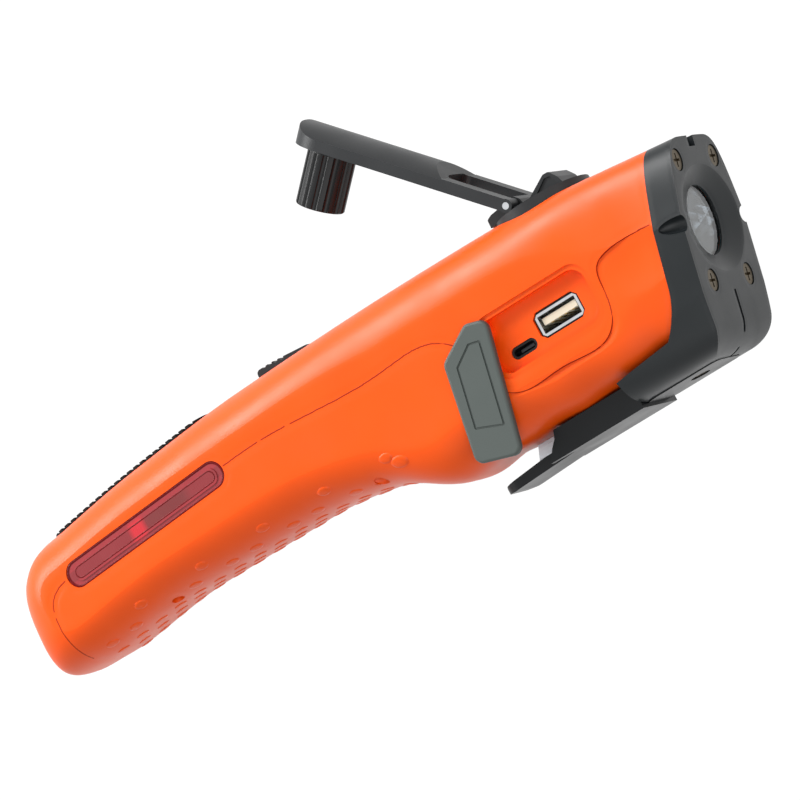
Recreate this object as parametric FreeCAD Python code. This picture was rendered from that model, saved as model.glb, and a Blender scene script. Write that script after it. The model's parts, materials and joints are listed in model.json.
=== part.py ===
import FreeCAD, Part

import math
import os

from FreeCAD import Vector, Placement, Rotation

os.makedirs("parts", exist_ok=True)

# Hand crank rescue torch with phone charging ports.
# x runs from the grip end to the light, y from the belly to the crank, z from the far flank to the
# port flank. The model is drawn about its middle plane and moved up by half the width at the end.

# body
width = 43.0
half_width = width / 2
flank_crown = 0.9
wall = 2.4
tail_x = -162.5
front_x = 86.0
tail_round = 19.0
tail_crown_drop = 13.2
tail_belly_round = 6.5
tail_belly_drop = 3.4
tail_side_round = 17.0
tail_side_drop = 13.0
tail_slant = 0.07
tail_slant_reach = 40.0
round_power = 2.8
square_power = 3.4
head_power = 6.5
head_taper_top = 0.30
head_taper_low = 0.15
head_taper_end = 75.0

# side profile of the housing: height of the spine and of the belly
tail_top = 24.6
tail_belly = -13.9
grip_x = -112.0
grip_top = 28.6
grip_belly = -10.9
waist_x = -68.0
waist_top = 31.7
waist_belly = -11.2
hip_x = -40.0
hip_belly = -15.4
shoulder_x = -22.5
shoulder_top = 32.2
shoulder_belly = -24.0
chest_x = 20.0
chest_top = 31.6
brow_top = 25.0
chest_belly = -24.5

# light head
face_lean = 13.0
face_x = 75.0
face_y = 3.4
face_wall = 3.4
bowl_depth = 2.7
bowl_half_height = 15.0
bowl_half_width = 18.4
head_half_width = 22.2
skirt_belly = -31.0
skirt_x = 36.0
head_cheek = 9.2
opening_radius = 9.8
notch_length = 7.2
notch_half = 2.3
notch_depth = 2.9
chin_groove = 1.0
chin_round = 9.6
screw_spread_y = 16.6
screw_spread_z = 12.4
screw_head_radius = 2.9
screw_radius = 1.5
screw_sink = 1.6

# optics
glass_radius = 11.5
glass_thickness = 1.4
rim_radius = 9.6
reflector_depth = 11.0
reflector_wall = 1.2
throat_radius = 3.6
board_radius = 10.0
board_thickness = 1.6
led_side = 3.4
sink_radius = 7.5
sink_length = 4.0

# belt cutter
hook_tip_x = -14.5
slot_end_x = 8.0
slot_height = 4.7
hook_bottom = -32.2
hook_droop = 1.0
hook_half = 8.0
neck_half = 11.5
hook_screw_x = 50.0
base_end = 60.0
base_half = 9.0
blade_thickness = 0.6

# port bay and sockets
bay_x = 6.6
bay_length = 37.4
bay_y = -8.4
bay_height = 18.6
bay_depth = 0.6
bay_step = 2.8
bay_margin = 1.3
bay_corner = 5.0
board_y = -2.6
usb_x = 29.8
usb_width = 13.1
usb_height = 5.7
usb_depth = 14.0
usb_metal = 0.35
usb_lip = 0.4
micro_x = 16.3
micro_width = 7.6
micro_height = 2.7
micro_depth = 5.6
micro_sink = 1.4
port_clearance = 1.0
port_chamfer = 1.5
surround_thickness = 1.2

# port cover
cover_length = 38.0
cover_root_width = 16.2
cover_tip_width = 14.2
cover_thickness = 1.8
cover_bevel_x = 8.6
cover_bevel_y = 9.4
stud_from_root = 3.7
stud_from_top = 3.7
cover_open = 102.7
cover_gap = 0.12
cover_pin_radius = 1.5
cover_corner = 2.8
cover_rim = 0.9
panel_start = 5.9
panel_end = 28.6
panel_top = 3.9
panel_low = 11.8
panel_bevel = 4.9
panel_groove = 0.6
panel_sink = 0.35

# crank
hub_x = 33.9
hub_radius = 14.2
hub_gap = 0.5
hub_bottom = 28.6
hub_top = 32.0
hub_half = 6.0
pin_x = 28.3
pin_y = 34.2
pin_radius = 1.0
fork_gap = 0.4
fork_reach = 21.5
arm_half = 11.3
arm_thickness = 3.4
arm_skin = 1.4
arm_crown = 2.6
arm_end = 9.8
arm_wall = 1.6
arm_reach = 59.3
arm_raise = 46.0
knob_radius = 7.0
knob_length = 16.6
knob_flutes = 14
knob_pin_radius = 1.6
knob_gap = 0.2
recess_gap = 0.8
recess_wall = 1.6
shaft_radius = 3.0
fit_gap = 0.06

# gear train
module = 0.6
drive_teeth = 48
idler_teeth = 12
wheel_teeth = 36
pinion_teeth = 12
pressure_angle = 25.0
backlash = 0.14
gear_face = 3.4
idler_bearing = 200.0
pinion_bearing = 165.0
drive_y = 17.6
wheel_y = 13.2
plate_thickness = 2.0
plate_gap = 0.7
plate_half = 16.0
plate_start = -10.0
plate_end = 49.0
post_z = 13.4

# generator
can_radius = 9.8
can_wall = 0.9
rotor_radius = 5.6
axle_radius = 1.0

# battery
cell_radius = 9.2
cell_length = 65.0
cell_start = -142.0
cell_y = 8.4

# side lamps
lamp_front = -84.0
lamp_rear = -136.5
lamp_y = 11.3
lamp_half = 3.9
lamp_thickness = 1.3

# switch
button_start = -65.4
button_length = 17.8
button_half = 4.6
button_rise = 2.2
button_travel = 4.8
button_bed = 1.1
stem_half = 1.6

# spine grip pad
pad_rear = -147.0
pad_front = -85.0
pad_half = 9.0
pad_rise = 0.4
pad_sink = 1.4
rib_pitch = 2.6
rib_groove = 0.9

# closing screws
bolt_radius = 1.0
bolt_head = 1.8
bolt_well = 1.9
bolt_sink = 4.0
bolt_boss = 2.9

nodes = {}


def box(x0, x1, y0, y1, z0, z1):
    return Part.makeBox(x1 - x0, y1 - y0, z1 - z0, Vector(x0, y0, z0))


def rod(x, y, z, radius, length, way):
    return Part.makeCylinder(radius, length, Vector(x, y, z), Vector(*way))


def rod_y(x, z, radius, low, high):
    return rod(x, low, z, radius, high - low, (0, 1, 0))


def rod_z(x, y, radius, low, high):
    return rod(x, y, low, radius, high - low, (0, 0, 1))


def ring_y(x, z, outer, inner, low, high):
    return rod_y(x, z, outer, low, high).cut(rod_y(x, z, inner, low - 1, high + 1))


def plate(points, low, high):
    """A flat outline in x and y, thick along z."""
    corners = [Vector(x, y, low) for x, y in points]
    corners.append(corners[0])
    return Part.Face(Part.makePolygon(corners)).extrude(Vector(0, 0, high - low))


def upright(shape, way):
    """The straight edges of a shape that run along one direction."""
    found = []
    for edge in shape.Edges:
        if not isinstance(edge.Curve, Part.Line):
            continue
        run = edge.Vertexes[1].Point.sub(edge.Vertexes[0].Point)
        if run.Length > 1e-6 and abs(run.normalize().dot(Vector(*way))) > 0.999:
            found.append(edge)
    return found


def soft_box(x0, x1, y0, y1, z0, z1, radius, way=(0, 0, 1)):
    shape = box(x0, x1, y0, y1, z0, z1)
    return shape.makeFillet(radius, upright(shape, way))


def join(first, *others):
    return first.fuse(list(others)).removeSplitter()


def through(points, value):
    """A curve through named stations that never swings past them."""
    steps = [
        (points[i + 1][1] - points[i][1]) / (points[i + 1][0] - points[i][0])
        for i in range(len(points) - 1)
    ]
    slopes = [steps[0]]
    for before, after in zip(steps, steps[1:]):
        same_way = before * after > 0
        slopes.append(2 * before * after / (before + after) if same_way else 0.0)
    slopes.append(steps[-1])
    spot = 0
    while spot < len(points) - 2 and value > points[spot + 1][0]:
        spot += 1
    x0, y0 = points[spot]
    x1, y1 = points[spot + 1]
    span = x1 - x0
    t = (value - x0) / span
    bend = t * t * (3 - 2 * t)
    rise = slopes[spot] * t * (1 - t) ** 2
    fall = slopes[spot + 1] * t * t * (t - 1)
    return y0 + (y1 - y0) * bend + span * (rise + fall)


spine = [
    (tail_x + tail_round, tail_top),
    (grip_x, grip_top),
    (waist_x, waist_top),
    (shoulder_x, shoulder_top),
    (chest_x, chest_top),
    (front_x, brow_top),
]
belly = [
    (tail_x + tail_round, tail_belly),
    (grip_x, grip_belly),
    (waist_x, waist_belly),
    (hip_x, hip_belly),
    (shoulder_x, shoulder_belly),
    (chest_x, chest_belly),
    (front_x, chest_belly),
]
throat = [(shoulder_x, skirt_belly), (front_x, skirt_belly)]
tail_pivot_y = (tail_top + tail_belly) / 2


def oval(x, top, low, half, power, slant, taper):
    """A closed smooth cross-section, flat-sided as its power grows, narrowed by its taper up and down."""
    middle = (top + low) / 2
    rise = (top - low) / 2
    points = []
    count = 40
    for i in range(count):
        turn = 2 * math.pi * i / count
        reach = (abs(math.cos(turn)) ** power + abs(math.sin(turn)) ** power) ** (-1 / power)
        across = reach * math.cos(turn)
        up = reach * math.sin(turn)
        y = middle + rise * up
        narrow = 1 - taper * (head_taper_top * max(0.0, up) + head_taper_low * max(0.0, -up))
        points.append(Vector(x + slant * (y - tail_pivot_y), y, half * across * narrow))
    curve = Part.BSplineCurve()
    even = [float(i) for i in range(count + 1)]
    curve.interpolate(Points=points, PeriodicFlag=True, Parameters=even)
    return Part.Wire(curve.toShape())


def pull(depth, reach):
    """How far, as a share, a rounded end has drawn in at a depth from its tip."""
    if depth >= reach:
        return 0.0
    lack = 1 - depth / reach
    return 1 - math.sqrt(1 - lack * lack)


def hull(inset, start, end, low_line, half, end_power):
    """The housing's rounded form, drawn in by an inset all round."""
    nose = tail_x + inset
    stations = []
    if start < tail_x + tail_round:
        stations += [nose + d for d in (0.12, 1.0, 2.4, 4.4, 7.2, 11.0)]
    x = max(start, tail_x + tail_round)
    count = max(2, round((end - x) / 10.0))
    stations += [x + (end - x) * i / count for i in range(count + 1)]
    sections = []
    for x in stations:
        line_x = max(x, tail_x + tail_round)
        top = through(spine, line_x) - inset
        low = through(low_line, line_x) + inset
        side = half + flank_crown - inset
        square = min(1.0, max(0.0, (x - waist_x) / (shoulder_x - waist_x)))
        share = min(1.0, max(0.0, (x - chest_x) / (head_taper_end - chest_x)))
        taper = share * share * (3 - 2 * share)
        power = round_power + (square_power - round_power) * square
        power += (end_power - power) * taper
        depth = x - nose
        side -= tail_side_drop * pull(depth, tail_side_round - inset)
        top -= tail_crown_drop * pull(depth, tail_round - inset)
        low += tail_belly_drop * pull(depth, tail_belly_round - inset)
        slant = tail_slant * max(0.0, 1 - depth / tail_slant_reach)
        sections.append(oval(x, top, low, side, power, slant, taper))
    return Part.makeLoft(sections, True, False)


def flat_flanks(shape, half):
    return shape.common(box(tail_x - 9, front_x + 9, -70, 70, -half, half))


lean = math.radians(face_lean)
head_place = Placement(Vector(face_x, face_y, 0), Rotation(Vector(0, 0, 1), -face_lean))


def in_head(shape):
    """Move a shape drawn about the face centre, with x out of the face, into the model."""
    moved = shape.copy()
    moved.Placement = head_place.multiply(moved.Placement)
    return moved


# where the housing meets the light head
cheek_top = in_head(Part.Vertex(-head_cheek + 3.4, 30, 0)).Point
cheek_low = in_head(Part.Vertex(-head_cheek, -16.5, 0)).Point
jaw = Vector(cheek_low.x - 7.5, chest_belly + 2.6, 0)
far = Vector(tail_x - 60, 90, 0)
deep = Vector(skirt_x, -90, 0)
heel = Vector(skirt_x, chest_belly + 0.6, 0)
bend = Vector(cheek_low.x - 2.0, cheek_low.y - 4.6, 0)
crest = Vector(cheek_top.x + (90 - cheek_top.y) * math.tan(math.radians(12.5)), 90, 0)
outline = [
    Part.LineSegment(Vector(far.x, -90, 0), far).toShape(),
    Part.LineSegment(far, crest).toShape(),
    Part.LineSegment(crest, cheek_low).toShape(),
    Part.Arc(cheek_low, bend, jaw).toShape(),
    Part.LineSegment(jaw, heel).toShape(),
    Part.LineSegment(heel, deep).toShape(),
    Part.LineSegment(deep, Vector(far.x, -90, 0)).toShape(),
]
behind = Part.Face(Part.Wire(outline)).extrude(Vector(0, 0, 120))
behind.translate(Vector(0, 0, -60))
face_side = in_head(box(-300, 0, -150, 150, -100, 100))
plate_side = in_head(box(-300, -face_wall, -150, 150, -100, 100))

outer = flat_flanks(hull(0.0, tail_x, front_x, belly, half_width, head_power), half_width)
inner = hull(wall, tail_x, front_x, belly, half_width, head_power)
inner = flat_flanks(inner, half_width - wall)
housing = outer.cut(inner).common(behind)

# the seam rises from the belly ahead of the tail cap and dips round the port bay
bay_end = bay_x + bay_length
bay_top = bay_y + bay_height
cap_x = tail_x + 13.2
seam_points = [
    Vector(cap_x + 1.0, tail_belly - 30, -60),
    Vector(cap_x, tail_belly, -60),
    Vector(cap_x - 0.6, tail_belly + 12, -60),
    Vector(cap_x + 1.4, 6.6, -60),
    Vector(cap_x + 6.0, 9.4, -60),
    Vector(lamp_rear, 10.0, -60),
    Vector(lamp_front, 13.2, -60),
    Vector(waist_x, 14.2, -60),
    Vector(shoulder_x, 12.2, -60),
    Vector(bay_x - 11.5, bay_top + 0.9, -60),
    Vector(bay_x - 6.2, bay_top - 3.5, -60),
    Vector(bay_x - 3.4, bay_y + 3.0, -60),
    Vector(bay_x + 3.0, bay_y - 3.6, -60),
    Vector(bay_x + bay_length / 2, bay_y - 4.2, -60),
    Vector(bay_end - 3.0, bay_y - 3.6, -60),
    Vector(bay_end + 1.6, bay_y + 3.0, -60),
    Vector(bay_end + 3.6, bay_top - 4.5, -60),
    Vector(bay_end + 9.0, bay_top - 2.4, -60),
    Vector(front_x + 10, 2.4, -60),
]
seam = Part.BSplineCurve()
seam.interpolate(seam_points)
sky = [
    Vector(front_x + 10, 80, -60),
    Vector(tail_x - 20, 80, -60),
    Vector(tail_x - 20, tail_belly - 30, -60),
]
lid = [
    seam.toShape(),
    Part.LineSegment(seam_points[-1], sky[0]).toShape(),
    Part.LineSegment(sky[0], sky[1]).toShape(),
    Part.LineSegment(sky[1], sky[2]).toShape(),
    Part.LineSegment(sky[2], seam_points[0]).toShape(),
]
above = Part.Face(Part.Wire(lid)).extrude(Vector(0, 0, 120))
upper = housing.common(above)
lower = housing.cut(above)


def egg(x, y, z, along, high, across):
    """An ellipsoid about a centre, with its three half lengths."""
    scale = FreeCAD.Matrix()
    scale.scale(Vector(along, high, across))
    shape = Part.makeSphere(1.0).transformGeometry(scale)
    shape.translate(Vector(x, y, z))
    return shape


# the near flank is softly scooped below and ahead of the port bay
scoop_depth = 0.9
scoop_rise = 60.0
for scoop in (
    egg(bay_end + 14, 3.0, half_width + scoop_rise - scoop_depth, 84, 60, scoop_rise),
    egg(bay_x + bay_length / 2, bay_y - 3.0, half_width + scoop_rise - scoop_depth, 130, 46, scoop_rise),
):
    lower = lower.cut(scoop)

# the stowed knob sinks into a recess in the spine, long enough for the arc on which it swings in
knob_drop = arm_thickness / 2 + knob_gap + knob_length
knob_swing = math.hypot(arm_reach + knob_radius, knob_drop) - arm_reach - knob_radius
well_x = pin_x - arm_reach
well_floor = pin_y - knob_drop - 1.2


def knob_recess(grow, low):
    radius = knob_radius + recess_gap + grow
    middle = box(well_x - knob_swing, well_x, low, 60, -radius, radius)
    ends = [rod_y(x, 0, radius, low, 60) for x in (well_x - knob_swing, well_x)]
    return middle.fuse(ends).removeSplitter()


# bosses, pads and wells inside the upper half
floor_z = half_width - bay_depth - bay_step
inside = hull(wall / 2, tail_x, front_x, belly, half_width, head_power)
inside = flat_flanks(inside, half_width - wall / 2)
bay_back = floor_z - recess_wall
pads = [
    soft_box(bay_x - 1.6, bay_end + 1.6, bay_y - 1.6, bay_top + 1.6, bay_back, half_width - 0.4, 4),
    rod_y(hub_x, 0, hub_radius + 1.6, hub_bottom - hub_gap - 2.4, 40),
    knob_recess(recess_wall, well_floor - recess_wall),
]
for pad in pads:
    upper = upper.fuse(pad.common(inside).common(behind).common(above))
cuts = [
    rod_y(hub_x, 0, hub_radius + hub_gap, hub_bottom - hub_gap, 60),
    rod_y(hub_x, 0, shaft_radius + 2.0, 0, 60),
    knob_recess(0.0, well_floor),
    soft_box(bay_x, bay_end, bay_y, bay_top, half_width - bay_depth, half_width + 9, bay_corner),
    soft_box(
        bay_x + bay_margin,
        bay_end - bay_margin,
        bay_y + bay_margin,
        bay_top - bay_margin,
        floor_z,
        half_width + 9,
        bay_corner - bay_margin / 2,
    ),
]
for cut in cuts:
    upper = upper.cut(cut)

# sockets on the main board
usb_y = board_y + usb_height / 2
micro_y = board_y + micro_height / 2 - micro_sink
socket_front = floor_z - 0.5
usb_hole_x = usb_width / 2 + port_clearance
usb_hole_y = usb_height / 2 + port_clearance
micro_hole_x = micro_width / 2 + 0.4
micro_hole_y = micro_height / 2 + 0.4


def octagon(grow, low, high):
    """The outline of the full-size port, a rectangle with its corners cut off."""
    x = usb_hole_x + grow
    y = usb_hole_y + grow
    cut = port_chamfer + grow / 2
    corners = [(x, y - cut), (x - cut, y), (cut - x, y), (-x, y - cut)]
    corners += [(-a, -b) for a, b in corners]
    shape = plate(corners, low, high)
    shape.translate(Vector(usb_x, usb_y, 0))
    return shape


def round_slot(grow, low, high):
    """The outline of the small port, a slot with round ends."""
    y = micro_hole_y + grow
    x = micro_hole_x + grow
    return soft_box(micro_x - x, micro_x + x, micro_y - y, micro_y + y, low, high, y - 0.05)


upper = upper.cut(octagon(0.0, 0, 40)).cut(round_slot(0.0, 0, 40))

# battery saddles, board posts and screw bosses inside the lower half
cell_end = cell_start + cell_length
cell = rod(cell_start, cell_y, 0, cell_radius, cell_length, (1, 0, 0))
saddles = []
for x in (cell_start + 8, cell_start + cell_length / 2, cell_end - 8):
    saddles.append(box(x - 1.5, x + 1.5, -30, cell_y - 2.0, -half_width, half_width))
for x in (bay_x - 4, bay_end - 2):
    for z in (-11.0, 8.0):
        saddles.append(rod_y(x, z, 2.6, -40, board_y - board_thickness))
for x in (cell_start - 4.5, cell_end + 3.5):
    saddles.append(box(x - 1.0, x + 1.0, -30, cell_y + 1.0, -half_width, half_width))
for saddle in saddles:
    piece = saddle.common(inside).common(behind).cut(above)
    lower = lower.fuse(piece)
lower = lower.cut(rod(cell_start - 0.3, cell_y, 0, cell_radius + 0.05, cell_length + 0.6, (1, 0, 0)))
nodes["battery_cell"] = cell.makeFillet(0.8, [e for e in cell.Edges if isinstance(e.Curve, Part.Circle)])

# the two stadium side lamps sit across the seam
lamp_axis = math.degrees(math.atan2(13.0 - 9.6, lamp_front - lamp_rear))
lamp_length = lamp_front - lamp_rear
lamp_x = (lamp_front + lamp_rear) / 2


def stadium(length, half, low, high):
    bar = box(-length / 2, length / 2, -half, half, low, high)
    bar = bar.fuse([rod_z(-length / 2, 0, half, low, high), rod_z(length / 2, 0, half, low, high)])
    bar = bar.removeSplitter()
    bar.Placement = Placement(Vector(lamp_x, lamp_y, 0), Rotation(Vector(0, 0, 1), lamp_axis))
    return bar


lamp_seat = half_width - lamp_thickness
lamp_inner = lamp_half - 1.4
for side in (1, -1):
    lens = stadium(lamp_length, lamp_half, lamp_seat, half_width - 0.3)
    lens = lens.fuse(stadium(lamp_length - 2, lamp_inner, lamp_seat, half_width)).removeSplitter()
    board = stadium(lamp_length - 6, lamp_half - 0.9, half_width - wall - 1.8, half_width - wall - 0.2)
    window = stadium(lamp_length, lamp_half - 1.0, half_width - wall - 4, half_width + 4)
    pocket = stadium(lamp_length, lamp_half + 0.1, lamp_seat, half_width + 4)
    if side < 0:
        middle = Vector(0, 0, 0), Vector(0, 0, 1)
        lens = lens.mirror(*middle)
        board = board.mirror(*middle)
        window = window.mirror(*middle)
        pocket = pocket.mirror(*middle)
    upper = upper.cut(pocket).cut(window)
    lower = lower.cut(pocket).cut(window)
    name = "near" if side > 0 else "far"
    nodes[name + "_side_lamp_lens"] = lens
    nodes[name + "_side_lamp_board"] = board

# battery contacts between the cell ends and their ribs
for name, x in (("rear", cell_start - 3.5), ("front", cell_end)):
    thick = 3.5 if name == "rear" else 2.5
    contact = box(x, x + thick, cell_y - 7.0, cell_y + 7.0, -5.0, 5.0)
    hollow = box(x + 0.4, x + thick - 0.4, cell_y - 6.6, cell_y + 8.0, -6.0, 6.0)
    nodes["battery_contact_" + name] = contact.cut(hollow)

# closing screws run up from wells in the belly, through the lower half into bosses of the upper half
bolt_spots = [(-117.7, 10.7), (-117.7, -10.7), (-41.5, 15.2), (-41.5, -15.2)]
cell_room = rod(cell_start - 0.3, cell_y, 0, cell_radius + 0.05, cell_length + 0.6, (1, 0, 0))
screws = []
for x, z in bolt_spots:
    well_top = through(belly, x) + wall + bolt_sink
    bolt_end = 17.5
    column = rod_y(x, z, bolt_boss, -40, 60).common(inside)
    lower = lower.fuse(column.cut(above).cut(cell_room))
    upper = upper.fuse(column.common(above).cut(cell_room))
    lower = lower.cut(rod_y(x, z, bolt_well, -40, well_top))
    lower = lower.cut(rod_y(x, z, bolt_radius + 0.1, -40, bolt_end))
    upper = upper.cut(rod_y(x, z, bolt_radius, -40, bolt_end))
    shank = rod_y(x, z, bolt_radius, well_top - 0.2, bolt_end)
    cap = rod_y(x, z, bolt_head, well_top - 1.4, well_top)
    cap = cap.cut(box(x - 1.2, x + 1.2, -60, well_top - 0.7, z - 0.25, z + 0.25))
    cap = cap.cut(box(x - 0.25, x + 0.25, -60, well_top - 0.7, z - 1.2, z + 1.2))
    screws.append(shank.fuse(cap).removeSplitter())
nodes["housing_screws"] = Part.makeCompound(screws)

# light head
head = flat_flanks(hull(0.0, shoulder_x + 50, front_x, throat, head_half_width, head_power), half_width)
head = head.common(face_side)
face_out = Vector(math.cos(lean), -math.sin(lean), 0)
chin_y = skirt_belly + chin_round
chin_x = face_x + ((chin_y - face_y) * math.sin(lean) - chin_round) / math.cos(lean)
beyond = Vector(chin_x, chin_y, 0).add(face_out * 35)
chin = plate([(chin_x, chin_y), (chin_x, -60), (front_x + 9, -60), (beyond.x, beyond.y)], -30, 30)
head = head.cut(chin.cut(rod_z(chin_x, chin_y, chin_round, -30, 30)))
hollow = flat_flanks(
    hull(wall, shoulder_x + 45, front_x, throat, head_half_width, head_power), half_width - wall
)
bezel = head.cut(hollow.common(plate_side)).cut(behind)
bezel = bezel.cut(in_head(rod(-9, 0, 0, opening_radius, 20, (1, 0, 0))))
rings = []
dish_end = opening_radius - 0.5
dish_mouth = (0.05, bowl_half_height, bowl_half_width)
dish_throat = (-bowl_depth - 0.2, dish_end - 0.01, dish_end)
for x, high, wide in (dish_mouth, dish_throat):
    ring = Part.Ellipse(Vector(x, 0, wide), Vector(x, high, 0), Vector(x, 0, 0))
    rings.append(Part.Wire(ring.toShape()))
bezel = bezel.cut(in_head(Part.makeLoft(rings, True, True)))
bezel = bezel.cut(in_head(box(-2.2, 9, bowl_half_height + 4.8, 60, -2.0, 2.0)))
for side in (1, -1):
    depth = side * (half_width - wall)
    backing = box(-notch_length - 1.4, -face_wall + 0.2, -4.2, 3.4, depth - 1.8, depth + 1.8)
    bezel = bezel.fuse(in_head(backing).common(head).cut(behind))
    bezel = bezel.cut(in_head(egg(0, -0.4, side * half_width, notch_length, notch_half, notch_depth)))
core = hull(chin_groove, shoulder_x + 45, front_x, throat, head_half_width, head_power)
core = core.common(in_head(box(-300, -chin_groove, -150, 150, -100, 100)))
core = core.cut(chin.cut(rod_z(chin_x, chin_y, chin_round - chin_groove, -30, 30)))
bezel = bezel.cut(in_head(box(-40, 9, -60, -20, -0.6, 0.6)).cut(core))
frame_depth = face_wall + glass_thickness + reflector_depth
head_screws = []
frame = box(-frame_depth - 2.0, -frame_depth, -17.5, 17.5, -15.0, 15.0)
frame = frame.makeFillet(3, upright(frame, (1, 0, 0)))
for up in (1, -1):
    for side in (1, -1):
        y = up * screw_spread_y
        z = side * screw_spread_z
        bezel = bezel.cut(in_head(rod(-screw_sink, y, z, screw_head_radius + 0.25, 9, (1, 0, 0))))
        bezel = bezel.cut(in_head(rod(-9, y, z, screw_radius + 0.1, 20, (1, 0, 0))))
        frame = frame.fuse(rod(-frame_depth - 1, y, z, 3.0, frame_depth + 1 - face_wall, (1, 0, 0)))
        frame = frame.cut(rod(-face_wall - 9, y, z, screw_radius, 10, (1, 0, 0)))
        screw = rod(-face_wall - 9, y, z, screw_radius, face_wall + 9 - screw_sink, (1, 0, 0))
        screw = screw.fuse(rod(-screw_sink, y, z, screw_head_radius, 1.3, (1, 0, 0)))
        for cross in ((0.35, 1.9), (1.9, 0.35)):
            slot = box(-1.1, 9, y - cross[0], y + cross[0], z - cross[1], z + cross[1])
            screw = screw.cut(slot)
        head_screws.append(in_head(screw.removeSplitter()))
        upper = upper.cut(in_head(rod(-face_wall - 9.2, y, z, screw_radius + 0.1, 30, (1, 0, 0))))
nodes["head_screws"] = Part.makeCompound(head_screws)
frame = frame.cut(rod(-frame_depth - 5, 0, 0, sink_radius + 0.05, 9, (1, 0, 0)))
nodes["head_frame"] = in_head(frame.removeSplitter()).common(inner)
nodes["lens"] = in_head(rod(-face_wall - glass_thickness, 0, 0, glass_radius, glass_thickness, (1, 0, 0)))

# the reflector is a parabola of revolution with a mounting flange
cup_front = -face_wall - glass_thickness
steps = 10
profile = []
for i in range(steps + 1):
    depth = reflector_depth * i / steps
    share = math.sqrt(1 - depth / reflector_depth)
    radius = throat_radius + (rim_radius - throat_radius) * share
    profile.append(Vector(cup_front - depth, radius, 0))
skin = Part.BSplineCurve()
skin.interpolate(profile)
shift = Vector(0, reflector_wall, 0)
skin_out = Part.BSplineCurve()
skin_out.interpolate([p.add(shift) for p in profile])
section = Part.Wire(
    [
        skin.toShape(),
        Part.LineSegment(profile[-1], profile[-1].add(shift)).toShape(),
        skin_out.toShape(),
        Part.LineSegment(profile[0].add(shift), profile[0]).toShape(),
    ]
)
cup = Part.Face(section).revolve(Vector(0, 0, 0), Vector(1, 0, 0), 360)
flange = rod(cup_front - 1.2, 0, 0, glass_radius, 1.2, (1, 0, 0))
flange = flange.cut(rod(cup_front - 3, 0, 0, opening_radius + 0.4, 5, (1, 0, 0)))
nodes["reflector"] = in_head(cup.fuse(flange).removeSplitter())
board_front = cup_front - reflector_depth
board = rod(board_front - board_thickness, 0, 0, sink_radius - 0.2, board_thickness, (1, 0, 0))
nodes["led_board"] = in_head(board)
half_led = led_side / 2
led = box(board_front, board_front + 0.7, -half_led, half_led, -half_led, half_led)
dome = Part.makeSphere(half_led - 0.1, Vector(board_front + 0.7, 0, 0))
dome = dome.common(box(board_front + 0.7, board_front + 9, -9, 9, -9, 9))
nodes["main_led"] = in_head(led.fuse(dome).removeSplitter())
core = rod(board_front - board_thickness - sink_length, 0, 0, sink_radius, sink_length, (1, 0, 0))
for i in range(3):
    groove_x = board_front - board_thickness - 2.4 - 2.4 * i
    groove = rod(groove_x - 1.0, 0, 0, sink_radius + 9, 1.2, (1, 0, 0))
    core = core.cut(groove.cut(rod(groove_x - 2, 0, 0, 4.0, 4, (1, 0, 0))))
nodes["heat_sink"] = in_head(core)

# belt cutter: a neck under the housing carries a hook that points back along the grip
neck_top = chest_belly - 0.1
hook_top = neck_top - slot_height
neck = plate(
    [
        (slot_end_x + 1.4, neck_top),
        (skirt_x + 26, neck_top),
        (skirt_x + 26, skirt_belly + wall + 0.2),
        (skirt_x - 0.2, skirt_belly + wall + 0.2),
        (skirt_x - 0.2, hook_bottom),
        (slot_end_x - 4.0, hook_bottom),
        (slot_end_x - 1.6, hook_top + 0.4),
        (slot_end_x + 0.4, hook_top + 2.4),
    ],
    -neck_half,
    neck_half,
)
bar = plate(
    [
        (slot_end_x + 3, hook_top),
        (slot_end_x - 6, hook_top),
        (hook_tip_x + 1.4, hook_top - hook_droop - 0.4),
        (hook_tip_x, hook_top - hook_droop - 1.3),
        (hook_tip_x + 0.8, hook_bottom - hook_droop + 0.3),
        (hook_tip_x + 3.6, hook_bottom - hook_droop),
        (slot_end_x + 3, hook_bottom),
    ],
    -hook_half,
    hook_half,
)
base = soft_box(skirt_x - 0.2, base_end, -60, neck_top - 1.5, -base_half, base_half, 3, (0, 1, 0))
base = base.common(box(-200, 200, skirt_belly - 0.2, 60, -90, 90))
bezel = bezel.cut(base)
plan_end = soft_box(hook_tip_x, slot_end_x + 20, hook_bottom - 9, 0, -hook_half, hook_half, 5.5, (0, 1, 0))
hook = join(neck, bar.common(plan_end), base)
hook = hook.cut(outer).cut(bezel)
hook = hook.cut(rod_y(hook_screw_x, 0, screw_radius + 0.1, -60, 60))
hook = hook.cut(rod_y(hook_screw_x, 0, screw_head_radius, -60, skirt_belly + 1.4))
floor_pad = box(skirt_x - 2, jaw.x, chest_belly, chest_belly + wall + 1.8, -half_width, half_width)
lower = lower.fuse(floor_pad.common(inside).common(behind))
post_end = chest_belly + 9.0
lower = lower.fuse(rod_y(hook_screw_x, 0, 3.4, chest_belly, post_end).common(inside).common(behind))
lower = lower.cut(rod_y(hook_screw_x, 0, screw_radius, -60, post_end - 1.5))
hook_screw = rod_y(hook_screw_x, 0, screw_radius, skirt_belly + 1.0, post_end - 2.0)
hook_head = rod_y(hook_screw_x, 0, screw_head_radius - 0.2, skirt_belly + 0.2, skirt_belly + 1.4)
hook_screw = hook_screw.fuse(hook_head)
cross_y = skirt_belly + 0.8
hook_screw = hook_screw.cut(box(hook_screw_x - 1.5, hook_screw_x + 1.5, -60, cross_y, -0.3, 0.3))
hook_screw = hook_screw.cut(box(hook_screw_x - 0.3, hook_screw_x + 0.3, -60, cross_y, -1.5, 1.5))
nodes["belt_cutter_screw"] = hook_screw.removeSplitter()
blade_slot = blade_thickness / 2 + 0.02
blade_outline = [
    (slot_end_x - 12.4, hook_top - 1.0),
    (slot_end_x - 9.8, neck_top - 0.05),
    (slot_end_x + 12, neck_top - 0.05),
    (slot_end_x + 12, hook_top - 1.0),
]
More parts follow.
